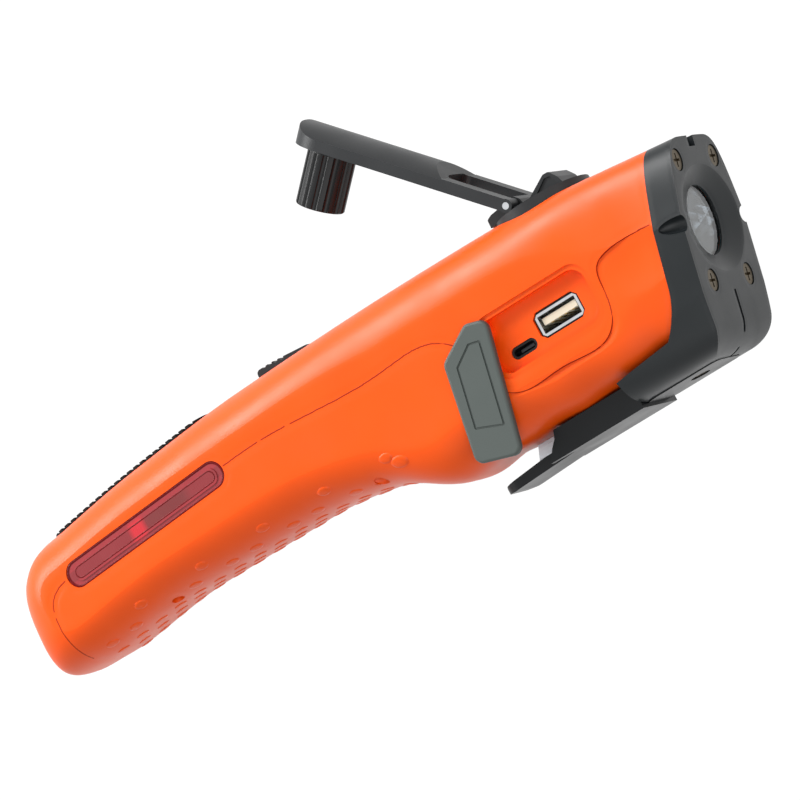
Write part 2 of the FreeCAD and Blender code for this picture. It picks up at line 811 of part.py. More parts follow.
hook = hook.cut(plate(blade_outline, -blade_slot, blade_slot))
nodes["belt_cutter_hook"] = hook
blade = plate(blade_outline, -blade_thickness / 2, blade_thickness / 2)
nodes["belt_cutter_blade"] = blade.cut(outer)
nodes["head_bezel"] = bezel

# main board with its two sockets, set back behind the frame of the larger port
board_edge = floor_z - recess_wall - 0.4
surround_low = socket_front - 0.45 - surround_thickness
main_board = box(bay_x - 8, bay_end + 3, board_y - board_thickness, board_y, -15.0, board_edge)
main_board = main_board.cut(
    box(usb_x - usb_hole_x - 0.3, usb_x + usb_hole_x + 0.3, -60, 60, surround_low - 0.2, 60)
)
main_board = main_board.cut(
    box(
        micro_x - micro_width / 2 - 0.1,
        micro_x + micro_width / 2 + 0.1,
        -60,
        60,
        socket_front - micro_depth - 0.1,
        60,
    )
)
nodes["main_circuit_board"] = main_board
shell_x = usb_width / 2
shell_y = usb_height / 2
socket = box(usb_x - shell_x, usb_x + shell_x, usb_y - shell_y, usb_y + shell_y, socket_front - usb_depth,
             socket_front)
lip = box(usb_x - shell_x - usb_lip, usb_x + shell_x + usb_lip, usb_y - shell_y - usb_lip,
          usb_y + shell_y + usb_lip, socket_front - 0.4, socket_front)
socket = socket.fuse(lip.common(octagon(-usb_lip, 0, 40)))
socket = socket.cut(
    box(
        usb_x - shell_x + usb_metal,
        usb_x + shell_x - usb_metal,
        usb_y - shell_y + usb_metal,
        usb_y + shell_y - usb_metal,
        socket_front - usb_depth + 1.0,
        40,
    )
)
nodes["usb_socket_shell"] = socket.removeSplitter()
tongue_top = usb_y + shell_y - usb_metal - 0.9
tongue_back = socket_front - usb_depth + 1.0
nodes["usb_socket_tongue"] = box(
    usb_x - 5.6, usb_x + 5.6, tongue_top - 1.9, tongue_top, tongue_back, socket_front - 0.9
)
micro_front = floor_z - 0.4 - surround_thickness
micro = box(
    micro_x - micro_width / 2,
    micro_x + micro_width / 2,
    micro_y - micro_height / 2,
    micro_y + micro_height / 2,
    socket_front - micro_depth,
    micro_front,
)
micro = micro.cut(
    box(
        micro_x - micro_width / 2 + 0.3,
        micro_x + micro_width / 2 - 0.3,
        micro_y - micro_height / 2 + 0.3,
        micro_y + micro_height / 2 - 0.3,
        socket_front - micro_depth + 0.8,
        40,
    )
)
pin_bar = box(micro_x - 2.2, micro_x + 2.2, micro_y - 0.3, micro_y + 0.4, socket_front - micro_depth + 0.5,
              micro_front - 0.8)
nodes["micro_usb_socket"] = micro.fuse(pin_bar).removeSplitter()

# black frames that close the gap between each socket and its port
surround = octagon(-0.05, surround_low, surround_low + surround_thickness)
near_x = shell_x + 0.04
near_y = shell_y + 0.04
surround = surround.cut(box(usb_x - near_x, usb_x + near_x, usb_y - near_y, usb_y + near_y, 0, 60))
nodes["usb_socket_surround"] = surround
surround = round_slot(-0.05, micro_front + 0.02, floor_z - 0.3)
slot_x = micro_width / 2 - 0.3
slot_y = micro_height / 2 - 0.3
surround = surround.cut(
    soft_box(micro_x - slot_x, micro_x + slot_x, micro_y - slot_y, micro_y + slot_y, 0, 60, slot_y - 0.05)
)
nodes["micro_usb_surround"] = surround

# port cover on a stud beside the bay, shown swung open
cover_x = bay_x - 2.0
cover_top = bay_top + 0.2
stud_x = cover_x + stud_from_root
stud_y = cover_top - stud_from_top
cover_low = half_width + cover_gap
cover_high = cover_low + cover_thickness
taper = (cover_root_width - cover_tip_width) / 2
cover_end = cover_x + cover_length
cover = plate(
    [
        (cover_x, cover_top - cover_root_width + cover_bevel_y),
        (cover_x + 0.4, cover_top),
        (cover_end, cover_top - taper),
        (cover_end - 0.8, cover_top + taper - cover_root_width),
        (cover_x + cover_bevel_x, cover_top - cover_root_width),
    ],
    cover_low,
    cover_high,
)
cover = cover.makeFillet(cover_corner, upright(cover, (0, 0, 1)))
rim_edges = [e for e in cover.Edges if min(v.Point.z for v in e.Vertexes) > cover_high - 0.01]
cover = cover.makeFillet(cover_rim, rim_edges)
panel = Part.makePolygon(
    [
        Vector(cover_x + panel_start, cover_top - panel_low + panel_bevel, cover_high - panel_sink),
        Vector(cover_x + panel_start, cover_top - panel_top, cover_high - panel_sink),
        Vector(cover_x + panel_end, cover_top - panel_top, cover_high - panel_sink),
        Vector(cover_x + panel_end - 1.1, cover_top - panel_low, cover_high - panel_sink),
        Vector(cover_x + panel_start + panel_bevel, cover_top - panel_low, cover_high - panel_sink),
        Vector(cover_x + panel_start, cover_top - panel_low + panel_bevel, cover_high - panel_sink),
    ]
)
panel_middle = Part.Face(panel)
panel_outside = panel_middle.makeOffset2D(panel_groove)
panel_ring = panel_outside.cut(panel_middle)
cover = cover.cut(panel_ring.extrude(Vector(0, 0, 3)))
cover = cover.cut(rod_z(stud_x, stud_y, cover_pin_radius + fit_gap, 0, cover_low + 0.6))
cover = cover.cut(rod_z(stud_x, stud_y, cover_pin_radius + 0.8, cover_low + 0.5, cover_low + 1.2))
cover.rotate(Vector(stud_x, stud_y, 0), Vector(0, 0, 1), -cover_open)
nodes["port_cover"] = cover

# the stud ends in a head that snaps into the cover from behind
stud_low = floor_z - 0.6
stud = rod_z(stud_x, stud_y, cover_pin_radius, stud_low, cover_low + 1.1)
stud = stud.fuse(rod_z(stud_x, stud_y, cover_pin_radius + 0.7, cover_low + 0.6, cover_low + 1.1))
post = rod_z(stud_x, stud_y, cover_pin_radius + 1.6, stud_low - 1.0, half_width)
post = post.common(box(-200, 200, -90, 90, floor_z - 1.0, half_width))
upper = upper.fuse(post).cut(rod_z(stud_x, stud_y, cover_pin_radius, stud_low, 40))
nodes["port_cover_stud"] = stud.removeSplitter()

# gear train between two plates under the crank
drive_radius = module * drive_teeth / 2
idler_radius = module * idler_teeth / 2
wheel_radius = module * wheel_teeth / 2
pinion_radius = module * pinion_teeth / 2
first_centres = drive_radius + idler_radius + 0.04
second_centres = wheel_radius + pinion_radius + 0.04
idler_way = math.radians(idler_bearing)
pinion_way = math.radians(pinion_bearing)
idler_x = hub_x + first_centres * math.cos(idler_way)
idler_z = first_centres * math.sin(idler_way)
rotor_x = idler_x + second_centres * math.cos(pinion_way)
rotor_z = idler_z + second_centres * math.sin(pinion_way)
low_plate_y = wheel_y - plate_gap - plate_thickness
high_plate_y = drive_y + gear_face + plate_gap


def gear(teeth, x, z, low, facing, gap_first):
    """A spur gear on an upright axle. One tooth, or one gap, faces the given bearing."""
    press = math.radians(pressure_angle)
    pitch = module * teeth / 2
    base = pitch * math.cos(press)
    root = pitch - 1.2 * module
    tip = pitch + 0.92 * module
    half_angle = (math.pi * module / 2 - backlash) / (2 * pitch)
    rolled = math.tan(press) - press
    begin = max(base, root)
    flank = []
    for i in range(5):
        radius = begin + (tip - begin) * i / 4
        turn = math.acos(min(1.0, base / radius))
        flank.append((radius, half_angle + rolled - (math.tan(turn) - turn)))
    if root < base:
        flank.insert(0, (root, flank[0][1]))
    points = []
    start = -facing + (math.pi / teeth if gap_first else 0.0)
    for tooth in range(teeth):
        centre = start + 2 * math.pi * tooth / teeth
        for radius, angle in flank:
            points.append((radius * math.cos(centre - angle), radius * math.sin(centre - angle)))
        for radius, angle in reversed(flank):
            points.append((radius * math.cos(centre + angle), radius * math.sin(centre + angle)))
    shape = plate(points, 0, gear_face)
    shape.rotate(Vector(0, 0, 0), Vector(1, 0, 0), -90)
    shape.translate(Vector(x, low, z))
    return shape


drive = gear(drive_teeth, hub_x, 0, drive_y, idler_way, False)
drive = drive.cut(rod_y(hub_x, 0, shaft_radius, 0, 60))
idler = gear(idler_teeth, idler_x, idler_z, drive_y, idler_way + math.pi, True)
wheel = gear(wheel_teeth, idler_x, idler_z, wheel_y, pinion_way, False)
hub = rod_y(idler_x, idler_z, idler_radius - 0.9, wheel_y, drive_y + gear_face)
idler = idler.fuse([wheel, hub]).cut(rod_y(idler_x, idler_z, axle_radius + fit_gap, 0, 60))
pinion = gear(pinion_teeth, rotor_x, rotor_z, wheel_y, pinion_way + math.pi, True)
pinion = pinion.cut(rod_y(rotor_x, rotor_z, axle_radius, 0, 60))
web_cut = ring_y(hub_x, 0, drive_radius - 2.4, shaft_radius + 2.6, drive_y + 2.2, drive_y + 9)
nodes["drive_gear"] = drive.cut(web_cut)
nodes["idler_gear"] = idler.removeSplitter()
nodes["generator_pinion"] = pinion
axle_low = low_plate_y
axle_high = high_plate_y + plate_thickness
nodes["idler_axle"] = rod_y(idler_x, idler_z, axle_radius, axle_low, axle_high)

# plates, their posts, and the screws that hang them from the housing
posts = [(x, z) for x in (plate_start + 3.5, plate_end - 3.5) for z in (post_z, -post_z)]
low_plate = box(plate_start, plate_end, 0, plate_thickness, -plate_half, plate_half)
high_plate = low_plate.copy()
low_plate.translate(Vector(0, low_plate_y, 0))
high_plate.translate(Vector(0, high_plate_y, 0))
well_clear = knob_recess(recess_wall + 0.6, -60)
sleeve = shaft_radius + fit_gap
low_plate = low_plate.cut(rod_y(hub_x, 0, sleeve, 0, 60)).cut(rod_y(idler_x, idler_z, axle_radius, 0, 60))
low_plate = low_plate.cut(rod_y(rotor_x, rotor_z, axle_radius + 1.0, 0, 60)).cut(well_clear)
high_plate = high_plate.cut(rod_y(hub_x, 0, sleeve, 0, 60))
high_plate = high_plate.cut(rod_y(idler_x, idler_z, axle_radius, 0, 60))
high_plate = high_plate.cut(well_clear)
spacers = []
hangers = []
for x, z in posts:
    spacers.append(ring_y(x, z, 2.6, screw_radius + 0.1, low_plate_y + plate_thickness, high_plate_y))
    hole = rod_y(x, z, screw_radius + 0.1, 0, 60)
    low_plate = low_plate.cut(hole)
    high_plate = high_plate.cut(hole)
    boss = rod_y(x, z, 3.2, high_plate_y + plate_thickness, 60).common(inside)
    upper = upper.fuse(boss).cut(rod_y(x, z, screw_radius, 0, high_plate_y + plate_thickness + 1.2))
    shank = rod_y(x, z, screw_radius, low_plate_y - 0.1, high_plate_y + plate_thickness + 1.2)
    cap = rod_y(x, z, screw_head_radius - 0.3, low_plate_y - 1.4, low_plate_y)
    cap = cap.cut(box(x - 9, x + 9, low_plate_y - 9, low_plate_y - 0.8, z - 0.35, z + 0.35))
    hangers.append(shank.fuse(cap).removeSplitter())
nodes["gearbox_lower_plate"] = low_plate.common(inner)
nodes["gearbox_upper_plate"] = high_plate.common(inner)
nodes["gearbox_spacers"] = Part.makeCompound(spacers)
nodes["gearbox_screws"] = Part.makeCompound(hangers)

# generator hangs under the lower plate
can_top = low_plate_y
can_bottom = board_y + 0.9
can = rod_y(rotor_x, rotor_z, can_radius, can_bottom, can_top)
can = can.cut(rod_y(rotor_x, rotor_z, can_radius - can_wall, can_bottom + can_wall, can_top - can_wall))
can = can.cut(rod_y(rotor_x, rotor_z, axle_radius + fit_gap, can_bottom + 0.4, can_top + 9))
nodes["generator_can"] = can
winding = ring_y(rotor_x, rotor_z, can_radius - can_wall, rotor_radius + 0.5, can_bottom + 3, can_top - 2.2)
nodes["generator_winding"] = winding
rotor = rod_y(rotor_x, rotor_z, axle_radius, can_bottom + 0.45, wheel_y + gear_face + 0.4)
rotor = rotor.fuse(rod_y(rotor_x, rotor_z, rotor_radius, can_bottom + 2.6, can_top - 1.8))
nodes["generator_rotor"] = rotor.removeSplitter()

# crank shaft and its bush
bush_top = hub_bottom - hub_gap
bush_low = high_plate_y + plate_thickness
nodes["shaft_bush"] = ring_y(hub_x, 0, shaft_radius + 2.0, shaft_radius + fit_gap, bush_low, bush_top)
shaft = rod_y(hub_x, 0, shaft_radius, low_plate_y, hub_bottom + 1.6)
nodes["crank_shaft"] = shaft

# crank hub: a disc with a spine that holds the hinge pin and fills the fork of the folded-out arm
disc = rod_y(hub_x, 0, hub_radius, hub_bottom, hub_top)
hub_outline = [
    (pin_x - 9.2, hub_top - 1.2),
    (pin_x - 9.0, pin_y + 0.3),
    (pin_x - 7.4, pin_y + 1.0),
    (pin_x - 2.4, pin_y + 1.6),
    (pin_x - 1.0, pin_y + 2.2),
    (pin_x + 1.0, pin_y + 2.1),
    (pin_x + 2.4, pin_y + 0.6),
    (pin_x + 3.0, hub_top + 0.3),
    (pin_x + 11.6, pin_y + 2.7),
    (pin_x + 13.4, pin_y + 2.6),
    (pin_x + 15.2, pin_y + 0.2),
    (pin_x + 16.4, hub_top - 1.2),
]
block = plate(hub_outline, -hub_half, hub_half)
block = block.makeFillet(
    0.7, [e for e in upright(block, (0, 0, 1)) if e.Vertexes[0].Point.y > hub_top + 0.5]
)
block = block.cut(ring_y(hub_x, 0, 60, hub_radius, -10, hub_top + 0.1))
crank_hub = disc.fuse(block)
crank_hub = crank_hub.cut(rod_z(pin_x, pin_y, pin_radius, -60, 60))
crank_hub = crank_hub.cut(rod_y(hub_x, 0, shaft_radius, 0, hub_bottom + 1.6))
ramp_mark = plate(
    [
        (pin_x + 6.4, hub_top + 0.6),
        (pin_x + 11.4, pin_y + 1.6),
        (pin_x + 13.2, pin_y + 1.4),
        (pin_x + 14.4, hub_top + 0.6),
    ],
    hub_half - 0.5,
    hub_half + 5,
)
crank_hub = crank_hub.cut(ramp_mark)
nodes["crank_hub"] = crank_hub.removeSplitter()
nodes["hinge_pin"] = rod_z(pin_x, pin_y, pin_radius, 0.1 - arm_half, arm_half - 0.1)

# arm and knob, drawn stowed and then raised about the pin
half_thick = arm_thickness / 2
arm_low = pin_y - half_thick
arm_high = pin_y + half_thick
knob_x = pin_x - arm_reach
crown_end = pin_x - fork_reach + 1.0
plan = box(knob_x - arm_end, pin_x, arm_low, arm_high + arm_crown + 1, -arm_half, arm_half)
plan_ends = [e for e in upright(plan, (0, 1, 0)) if e.Vertexes[0].Point.x < knob_x]
plan = plan.makeFillet(arm_end - 0.6, plan_ends)
slab = plan.common(box(knob_x - 30, pin_x, arm_low, arm_high, -arm_half, arm_half))
arch = [
    Part.Arc(
        Vector(knob_x - 30, arm_high - 0.3, -arm_half),
        Vector(knob_x - 30, arm_high + arm_crown, 0),
        Vector(knob_x - 30, arm_high - 0.3, arm_half),
    ).toShape(),
    Part.LineSegment(
        Vector(knob_x - 30, arm_high - 0.3, arm_half),
        Vector(knob_x - 30, arm_high - 0.3, -arm_half),
    ).toShape(),
]
dome = Part.Face(Part.Wire(arch)).extrude(Vector(crown_end - knob_x + 30, 0, 0))
ramp_end = plate(
    [
        (crown_end + 1, arm_high - 9),
        (crown_end + 1, arm_high + 9),
        (crown_end - 7.0, arm_high + arm_crown + 0.4),
        (crown_end, arm_high),
    ],
    -40,
    40,
)
dome = dome.cut(ramp_end)
low_slab = slab.common(box(knob_x - 30, crown_end, arm_low, arm_high - 0.3, -arm_half, arm_half))
fork_slab = slab.common(box(crown_end, pin_x, arm_low, arm_high, -arm_half, arm_half))
arm = low_slab.fuse([dome.common(plan), fork_slab])
arm = arm.fuse(rod_z(pin_x, pin_y, half_thick + 0.2, -arm_half, arm_half)).removeSplitter()
fork = hub_half + fork_gap
arm = arm.cut(soft_box(pin_x - fork_reach, pin_x + 40, 0, 60, -fork, fork, 2.5, (0, 1, 0)))
arm = arm.cut(
    soft_box(
        knob_x + knob_radius + 2.0,
        pin_x - fork_reach - 2.4,
        0,
        arm_high - arm_skin,
        arm_wall - arm_half,
        arm_half - arm_wall,
        1.5,
        (0, 1, 0),
    )
)
arm = arm.cut(rod_z(pin_x, pin_y, pin_radius + fit_gap, -60, 60))
arm = arm.cut(rod_y(knob_x, 0, knob_pin_radius, 0, arm_high))
knob_high = arm_low - knob_gap
knob_low = knob_high - knob_length
knob = rod_y(knob_x, 0, knob_radius, knob_low, knob_high)
knob = knob.makeFillet(0.8, [e for e in knob.Edges if isinstance(e.Curve, Part.Circle)])
for i in range(knob_flutes):
    turn = 2 * math.pi * i / knob_flutes
    reach = knob_radius + 0.55
    knob = knob.cut(
        rod_y(knob_x + reach * math.cos(turn), reach * math.sin(turn), 1.1, knob_low - 1, knob_high - 0.9)
    )
knob = knob.cut(rod_y(knob_x, 0, knob_pin_radius + fit_gap, knob_low + 3.0, 60))
knob = knob.cut(rod_y(knob_x, 0, knob_pin_radius + 1.3, knob_low + 3.0, knob_low + 4.6))
knob_pin = rod_y(knob_x, 0, knob_pin_radius, knob_low + 3.2, arm_high)
knob_pin = knob_pin.fuse(rod_y(knob_x, 0, knob_pin_radius + 1.2, knob_low + 3.2, knob_low + 4.4))
for name, shape in (("crank_arm", arm), ("crank_knob", knob), ("knob_pin", knob_pin.removeSplitter())):
    shape.rotate(Vector(pin_x, pin_y, 0), Vector(0, 0, 1), -arm_raise)
    nodes[name] = shape

# slide switch on the spine
bed_high = through(spine, button_start) - button_bed
bed = soft_box(
    button_start - 0.4,
    button_start + button_length + button_travel + 0.4,
    bed_high,
    60,
    -button_half - 0.3,
    button_half + 0.3,
    1.2,
    (0, 1, 0),
)
upper = upper.cut(bed)
stem_x = button_start + button_length / 2
slot_low = bed_high - wall - 2.5
upper = upper.cut(
    box(stem_x - stem_half - 0.3, stem_x + stem_half + button_travel + 0.3, slot_low, 60, -1.6, 1.6)
)
button_top = through(spine, button_start) + button_rise
button = box(
    button_start, button_start + button_length, bed_high + 0.15, button_top, -button_half, button_half
)
slope = plate(
    [
        (button_start + 5.5, button_top + 1),
        (button_start + 5.5, button_top),
        (button_start + button_length, bed_high + 2.2),
        (button_start + button_length + 2, bed_high + 2.2),
        (button_start + button_length + 2, button_top + 1),
    ],
    -30,
    30,
)
button = button.cut(slope)
tail_edges = [
    e for e in upright(button, (0, 0, 1)) if e.Vertexes[0].Point.y > button_top - 0.1
]
button = button.makeFillet(1.3, tail_edges)
for i in range(4):
    button = button.cut(rod_z(button_start + 3.0 + 2.0 * i, button_top + 0.35 - 0.22 * i, 0.7, -30, 30))
stem_low = bed_high - wall - 1.6
button = button.fuse(box(stem_x - stem_half, stem_x + stem_half, stem_low, bed_high + 1.0, -1.3, 1.3))
nodes["slide_switch_button"] = button.removeSplitter()
body_top = bed_high - wall + button_bed - 0.15
switch_body = box(stem_x - 8.0, stem_x + 12.0, body_top - 6.5, body_top, -4.4, 4.4)
switch_body = switch_body.cut(
    box(stem_x - stem_half - 0.4, stem_x + stem_half + button_travel + 0.4, stem_low - 0.4, 60, -1.7, 1.7)
)
nodes["slide_switch_body"] = switch_body.cut(upper).cut(knob_recess(recess_wall + 0.1, -60))

# ribbed grip pad let into the spine of the grip
def spine_strip(start, end, rise, sink, half):
    """A strip that follows the spine line, thick from the sink depth to the rise height."""
    count = 8
    tops = []
    lows = []
    for i in range(count + 1):
        x = start + (end - start) * i / count
        line_y = through(spine, x)
        tops.append(Vector(x, line_y + rise, -half))
        lows.append(Vector(x, line_y - sink, -half))
    over = Part.BSplineCurve()
    over.interpolate(tops)
    under = Part.BSplineCurve()
    under.interpolate(lows)
    edges = [
        over.toShape(),
        Part.LineSegment(tops[-1], lows[-1]).toShape(),
        under.toShape(),
        Part.LineSegment(lows[0], tops[0]).toShape(),
    ]
    return Part.Face(Part.Wire(edges)).extrude(Vector(0, 0, 2 * half))


pad_room = soft_box(pad_rear, pad_front, 12, 60, -pad_half, pad_half, 6, (0, 1, 0))
grip_pad = spine_strip(pad_rear - 0.5, pad_front + 9, pad_rise, pad_sink, 20).common(pad_room)
upper = upper.cut(spine_strip(pad_rear - 0.5, pad_front + 9, 20, pad_sink, 20).common(pad_room))
groove_x = pad_rear + 3.2
while groove_x < pad_front - 3.0:
    line_y = through(spine, groove_x)
    low_y = line_y + pad_rise - rib_groove
    grip_pad = grip_pad.cut(box(groove_x - 0.55, groove_x + 0.55, low_y, low_y + 9, -pad_half, pad_half))
    groove_x += rib_pitch
nodes["top_grip_pad"] = grip_pad

nodes["upper_housing"] = upper
nodes["lower_housing"] = lower

for name, shape in nodes.items():
    placed = shape.copy()
    placed.translate(Vector(0, 0, half_width))
    placed.exportStep("parts/" + name + ".step")
    solids = len(placed.Solids)
    state = "ok" if placed.isValid() else "INVALID"
    print(name, solids, round(placed.Volume, 1), state)
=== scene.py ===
import json
import math

import bmesh
import bpy
from mathutils import Matrix, Vector
from mathutils.bvhtree import BVHTree


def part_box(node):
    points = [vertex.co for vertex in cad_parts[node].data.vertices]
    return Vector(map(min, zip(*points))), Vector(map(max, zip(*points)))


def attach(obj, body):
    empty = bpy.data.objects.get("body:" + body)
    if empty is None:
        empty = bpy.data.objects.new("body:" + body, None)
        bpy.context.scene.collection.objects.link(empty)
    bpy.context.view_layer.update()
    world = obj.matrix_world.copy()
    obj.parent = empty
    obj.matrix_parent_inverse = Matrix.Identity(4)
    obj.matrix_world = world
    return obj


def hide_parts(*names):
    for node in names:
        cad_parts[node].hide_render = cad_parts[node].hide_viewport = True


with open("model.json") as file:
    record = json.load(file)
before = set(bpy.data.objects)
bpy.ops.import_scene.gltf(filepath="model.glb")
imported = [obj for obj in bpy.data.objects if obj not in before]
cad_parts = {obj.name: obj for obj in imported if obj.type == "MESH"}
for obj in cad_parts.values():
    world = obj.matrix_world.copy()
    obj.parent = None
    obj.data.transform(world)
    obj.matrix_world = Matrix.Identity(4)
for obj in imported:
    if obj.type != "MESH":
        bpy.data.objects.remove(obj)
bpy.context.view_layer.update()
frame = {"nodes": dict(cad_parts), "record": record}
nodes = frame["nodes"]

MM = 0.001
HALF_WIDTH = 21.5  # of the body, and so the height of its middle plane above the table


def at(x, y, z):
    """A point in millimetres, with z from the middle plane, as a point of the frame."""
    return Vector((x, y, z + HALF_WIDTH)) * MM


# ---------------------------------------------------------------- materials


def tone(red, green, blue):
    """A colour given in display values from 0 to 255, as the linear values that shaders take."""
    out = []
    for value in (red, green, blue):
        v = value / 255
        # the two parts of the sRGB curve
        out.append(v / 12.92 if v <= 0.04045 else ((v + 0.055) / 1.055) ** 2.4)
    return (*out, 1.0)


def shift(colour, factor):
    """The same colour, darker or lighter by a factor."""
    return (*[min(1.0, c * factor) for c in colour[:3]], 1.0)


COAT_ROUGHNESS = 0.25
MIDDLE_NOISE = (0.3, 0.7)  # a noise seldom leaves this span, so it is stretched from there
BEVEL_SAMPLES = 6
# cosines between a face's own normal and the rounded one: a sharp edge and a shallow crease
EDGE_COSINE, CREASE_COSINE = 0.968, 0.985


class Paint:
    """A material with a principled shader and short ways to add detail to it."""

    def __init__(self, name, colour, roughness, metallic=0.0, specular=0.5, coat=0.0):
        self.mat = bpy.data.materials.new(name)
        self.mat.use_nodes = True
        self.tree = self.mat.node_tree
        self.bsdf = self.tree.nodes["Principled BSDF"]
        self.colour = colour
        self.bsdf.inputs["Base Color"].default_value = colour
        self.bsdf.inputs["Roughness"].default_value = roughness
        self.bsdf.inputs["Metallic"].default_value = metallic
        self.bsdf.inputs["Specular IOR Level"].default_value = specular
        self.bsdf.inputs["Coat Weight"].default_value = coat
        self.bsdf.inputs["Coat Roughness"].default_value = COAT_ROUGHNESS
        self.place = self.new("ShaderNodeTexCoord").outputs["Object"]
        self.normal = None

    def new(self, kind, **inputs):
        """A node with its sockets set; an underscore stands for a space in a socket's name."""
        node = self.tree.nodes.new(kind)
        for name, value in inputs.items():
            node.inputs[name.replace("_", " ")].default_value = value
        return node

    def link(self, out, into):
        self.tree.links.new(out, into)

    def noise(self, size_mm, detail=2.0, stretch=(1, 1, 1)):
        mapping = self.new("ShaderNodeMapping")
        mapping.inputs["Scale"].default_value = stretch
        self.link(self.place, mapping.inputs["Vector"])
        noise = self.new("ShaderNodeTexNoise", Scale=1000 / size_mm, Detail=detail)
        self.link(mapping.outputs["Vector"], noise.inputs["Vector"])
        return noise.outputs["Fac"]

    def ramp(self, value, low, high, start, end):
        """The value between low and high, as one between start and end."""
        span = self.new(
            "ShaderNodeMapRange", From_Min=low, From_Max=high, To_Min=start, To_Max=end
        )
        self.link(value, span.inputs["Value"])
        return span.outputs["Result"]

    def bump(self, value, depth_mm, strength=1.0):
        """Relief on top of any relief that the material has."""
        node = self.new("ShaderNodeBump", Strength=strength, Distance=depth_mm * MM)
        self.link(value, node.inputs["Height"])
        if self.normal is not None:
            self.link(self.normal, node.inputs["Normal"])
        self.normal = node.outputs["Normal"]
        self.link(self.normal, self.bsdf.inputs["Normal"])
        return self

    def mottle_and_painted_reflection(self, size_mm, amount, stretch=(1, 1, 1)):
        """Uneven colour, darker and lighter by the amount: random tone, and with a large amount
        painted reflections.
        """
        value = self.noise(size_mm, 3.0, stretch)
        mix = self.new("ShaderNodeMix")
        mix.data_type = "RGBA"
        mix.inputs["A"].default_value = shift(self.colour, 1 - amount)
        mix.inputs["B"].default_value = shift(self.colour, 1 + amount)
        self.link(self.ramp(value, *MIDDLE_NOISE, 0, 1), mix.inputs["Factor"])
        self.link(mix.outputs["Result"], self.bsdf.inputs["Base Color"])
        return self

    def sheen_of_use(self, size_mm, low, high, stretch=(1, 1, 1)):
        """Uneven roughness, as from handling."""
        value = self.noise(size_mm, 3.0, stretch)
        self.link(self.ramp(value, *MIDDLE_NOISE, low, high), self.bsdf.inputs["Roughness"])
        return self

    def soften_creases(self, radius_mm):
        """Shallow creases between faces shade as one smooth form, and true edges stay crisp."""
        rounded = self.new("ShaderNodeBevel", Radius=radius_mm * MM)
        rounded.samples = BEVEL_SAMPLES
        plain = self.new("ShaderNodeNewGeometry").outputs["Normal"]
        alike = self.new("ShaderNodeVectorMath")
        alike.operation = "DOT_PRODUCT"
        self.link(rounded.outputs["Normal"], alike.inputs[0])
        self.link(plain, alike.inputs[1])
        mix = self.new("ShaderNodeMix")
        mix.data_type = "VECTOR"
        shallow = self.ramp(alike.outputs["Value"], EDGE_COSINE, CREASE_COSINE, 0, 1)
        self.link(shallow, mix.inputs["Factor"])
        # of a mix node for vectors, sockets 4 and 5 are the two vectors and output 1 the result
        self.link(plain, mix.inputs[4])
        self.link(rounded.outputs["Normal"], mix.inputs[5])
        bump = next(n for n in self.tree.nodes if n.bl_idname == "ShaderNodeBump")
        self.link(mix.outputs[1], bump.inputs["Normal"])
        return self

    def grain(self, size_mm, depth_mm, strength=1.0, stretch=(1, 1, 1)):
        """The fine relief of a surface."""
        return self.bump(self.noise(size_mm, 2.0, stretch), depth_mm, strength)


def moulded(name, colour, roughness, grain_mm, depth_mm, specular=0.5):
    """Moulded plastic or rubber."""
    paint = Paint(name, colour, roughness, specular=specular)
    paint.mottle_and_painted_reflection(size_mm=22.0, amount=0.035)
    paint.sheen_of_use(size_mm=14.0, low=roughness - 0.05, high=roughness + 0.05)
    paint.grain(grain_mm, depth_mm, strength=0.5)
    return paint


def metal(name, colour, roughness, brush=(1, 1, 1), scratch_mm=0.35):
    """Metal with fine scratches, drawn out along one axis by the brush."""
    paint = Paint(name, colour, roughness, metallic=1.0)
    paint.mottle_and_painted_reflection(size_mm=6.0, amount=0.06, stretch=brush)
    paint.sheen_of_use(size_mm=3.0, low=roughness - 0.06, high=roughness + 0.08, stretch=brush)
    paint.grain(scratch_mm, depth_mm=0.01, strength=0.35, stretch=brush)
    return paint


# name, colour, roughness, then the size and the depth of the grain in millimetres
orange = moulded("orange_housing", tone(255, 88, 2), 0.36, 0.35, 0.012, specular=0.35)
orange.soften_creases(radius_mm=3.5)
head_black = moulded("head_black", tone(27, 31, 33), 0.36, 0.45, 0.02, specular=0.3)
head_black.soften_creases(radius_mm=2.0)
crank_black = moulded("crank_black", tone(28, 30, 32), 0.42, 0.4, 0.02, specular=0.35)
knob_black = moulded("knob_black", tone(16, 17, 18), 0.36, 0.4, 0.015, specular=0.25)
cover_grey = moulded("cover_rubber", tone(80, 87, 84), 0.5, 0.45, 0.035, specular=0.35)
switch_grey = moulded("switch_grey", tone(28, 31, 33), 0.45, 0.4, 0.02, specular=0.3)
pad_black = moulded("grip_pad_rubber", tone(16, 16, 16), 0.7, 0.5, 0.03, specular=0.2)
hook_green = moulded("hook_plastic", tone(14, 17, 19), 0.34, 0.5, 0.02, specular=0.25)
frame_black = moulded("frame_black", tone(14, 14, 15), 0.5, 0.5, 0.02, specular=0.3)
cream = moulded("tongue_cream", tone(232, 224, 200), 0.35, 0.3, 0.01)
gear_white = moulded("gear_white", tone(232, 230, 222), 0.4, 0.3, 0.01)
board_green = moulded("circuit_board", tone(20, 90, 52), 0.35, 0.8, 0.03)
cell_wrap = moulded("cell_wrap", tone(50, 110, 160), 0.3, 1.2, 0.03)
led_yellow = moulded("led_phosphor", tone(240, 214, 92), 0.35, 0.3, 0.01)
steel = metal("bright_steel", tone(205, 207, 210), 0.22)
# nickel painted dark: painted shade of the small socket's deep slot
port_nickel_painted_shade = metal("port_nickel_painted_shade", tone(64, 64, 67), 0.34)
blade_steel = metal("blade_steel", tone(196, 199, 204), 0.3, (1, 8, 1))
screw_steel = metal("screw_steel", tone(92, 82, 66), 0.42)
plate_steel = metal("plate_steel", tone(160, 162, 165), 0.4, (8, 1, 1))
brass = metal("brass", tone(200, 165, 92), 0.3)
copper = metal("copper_wire", tone(190, 104, 60), 0.35, (1, 12, 1))
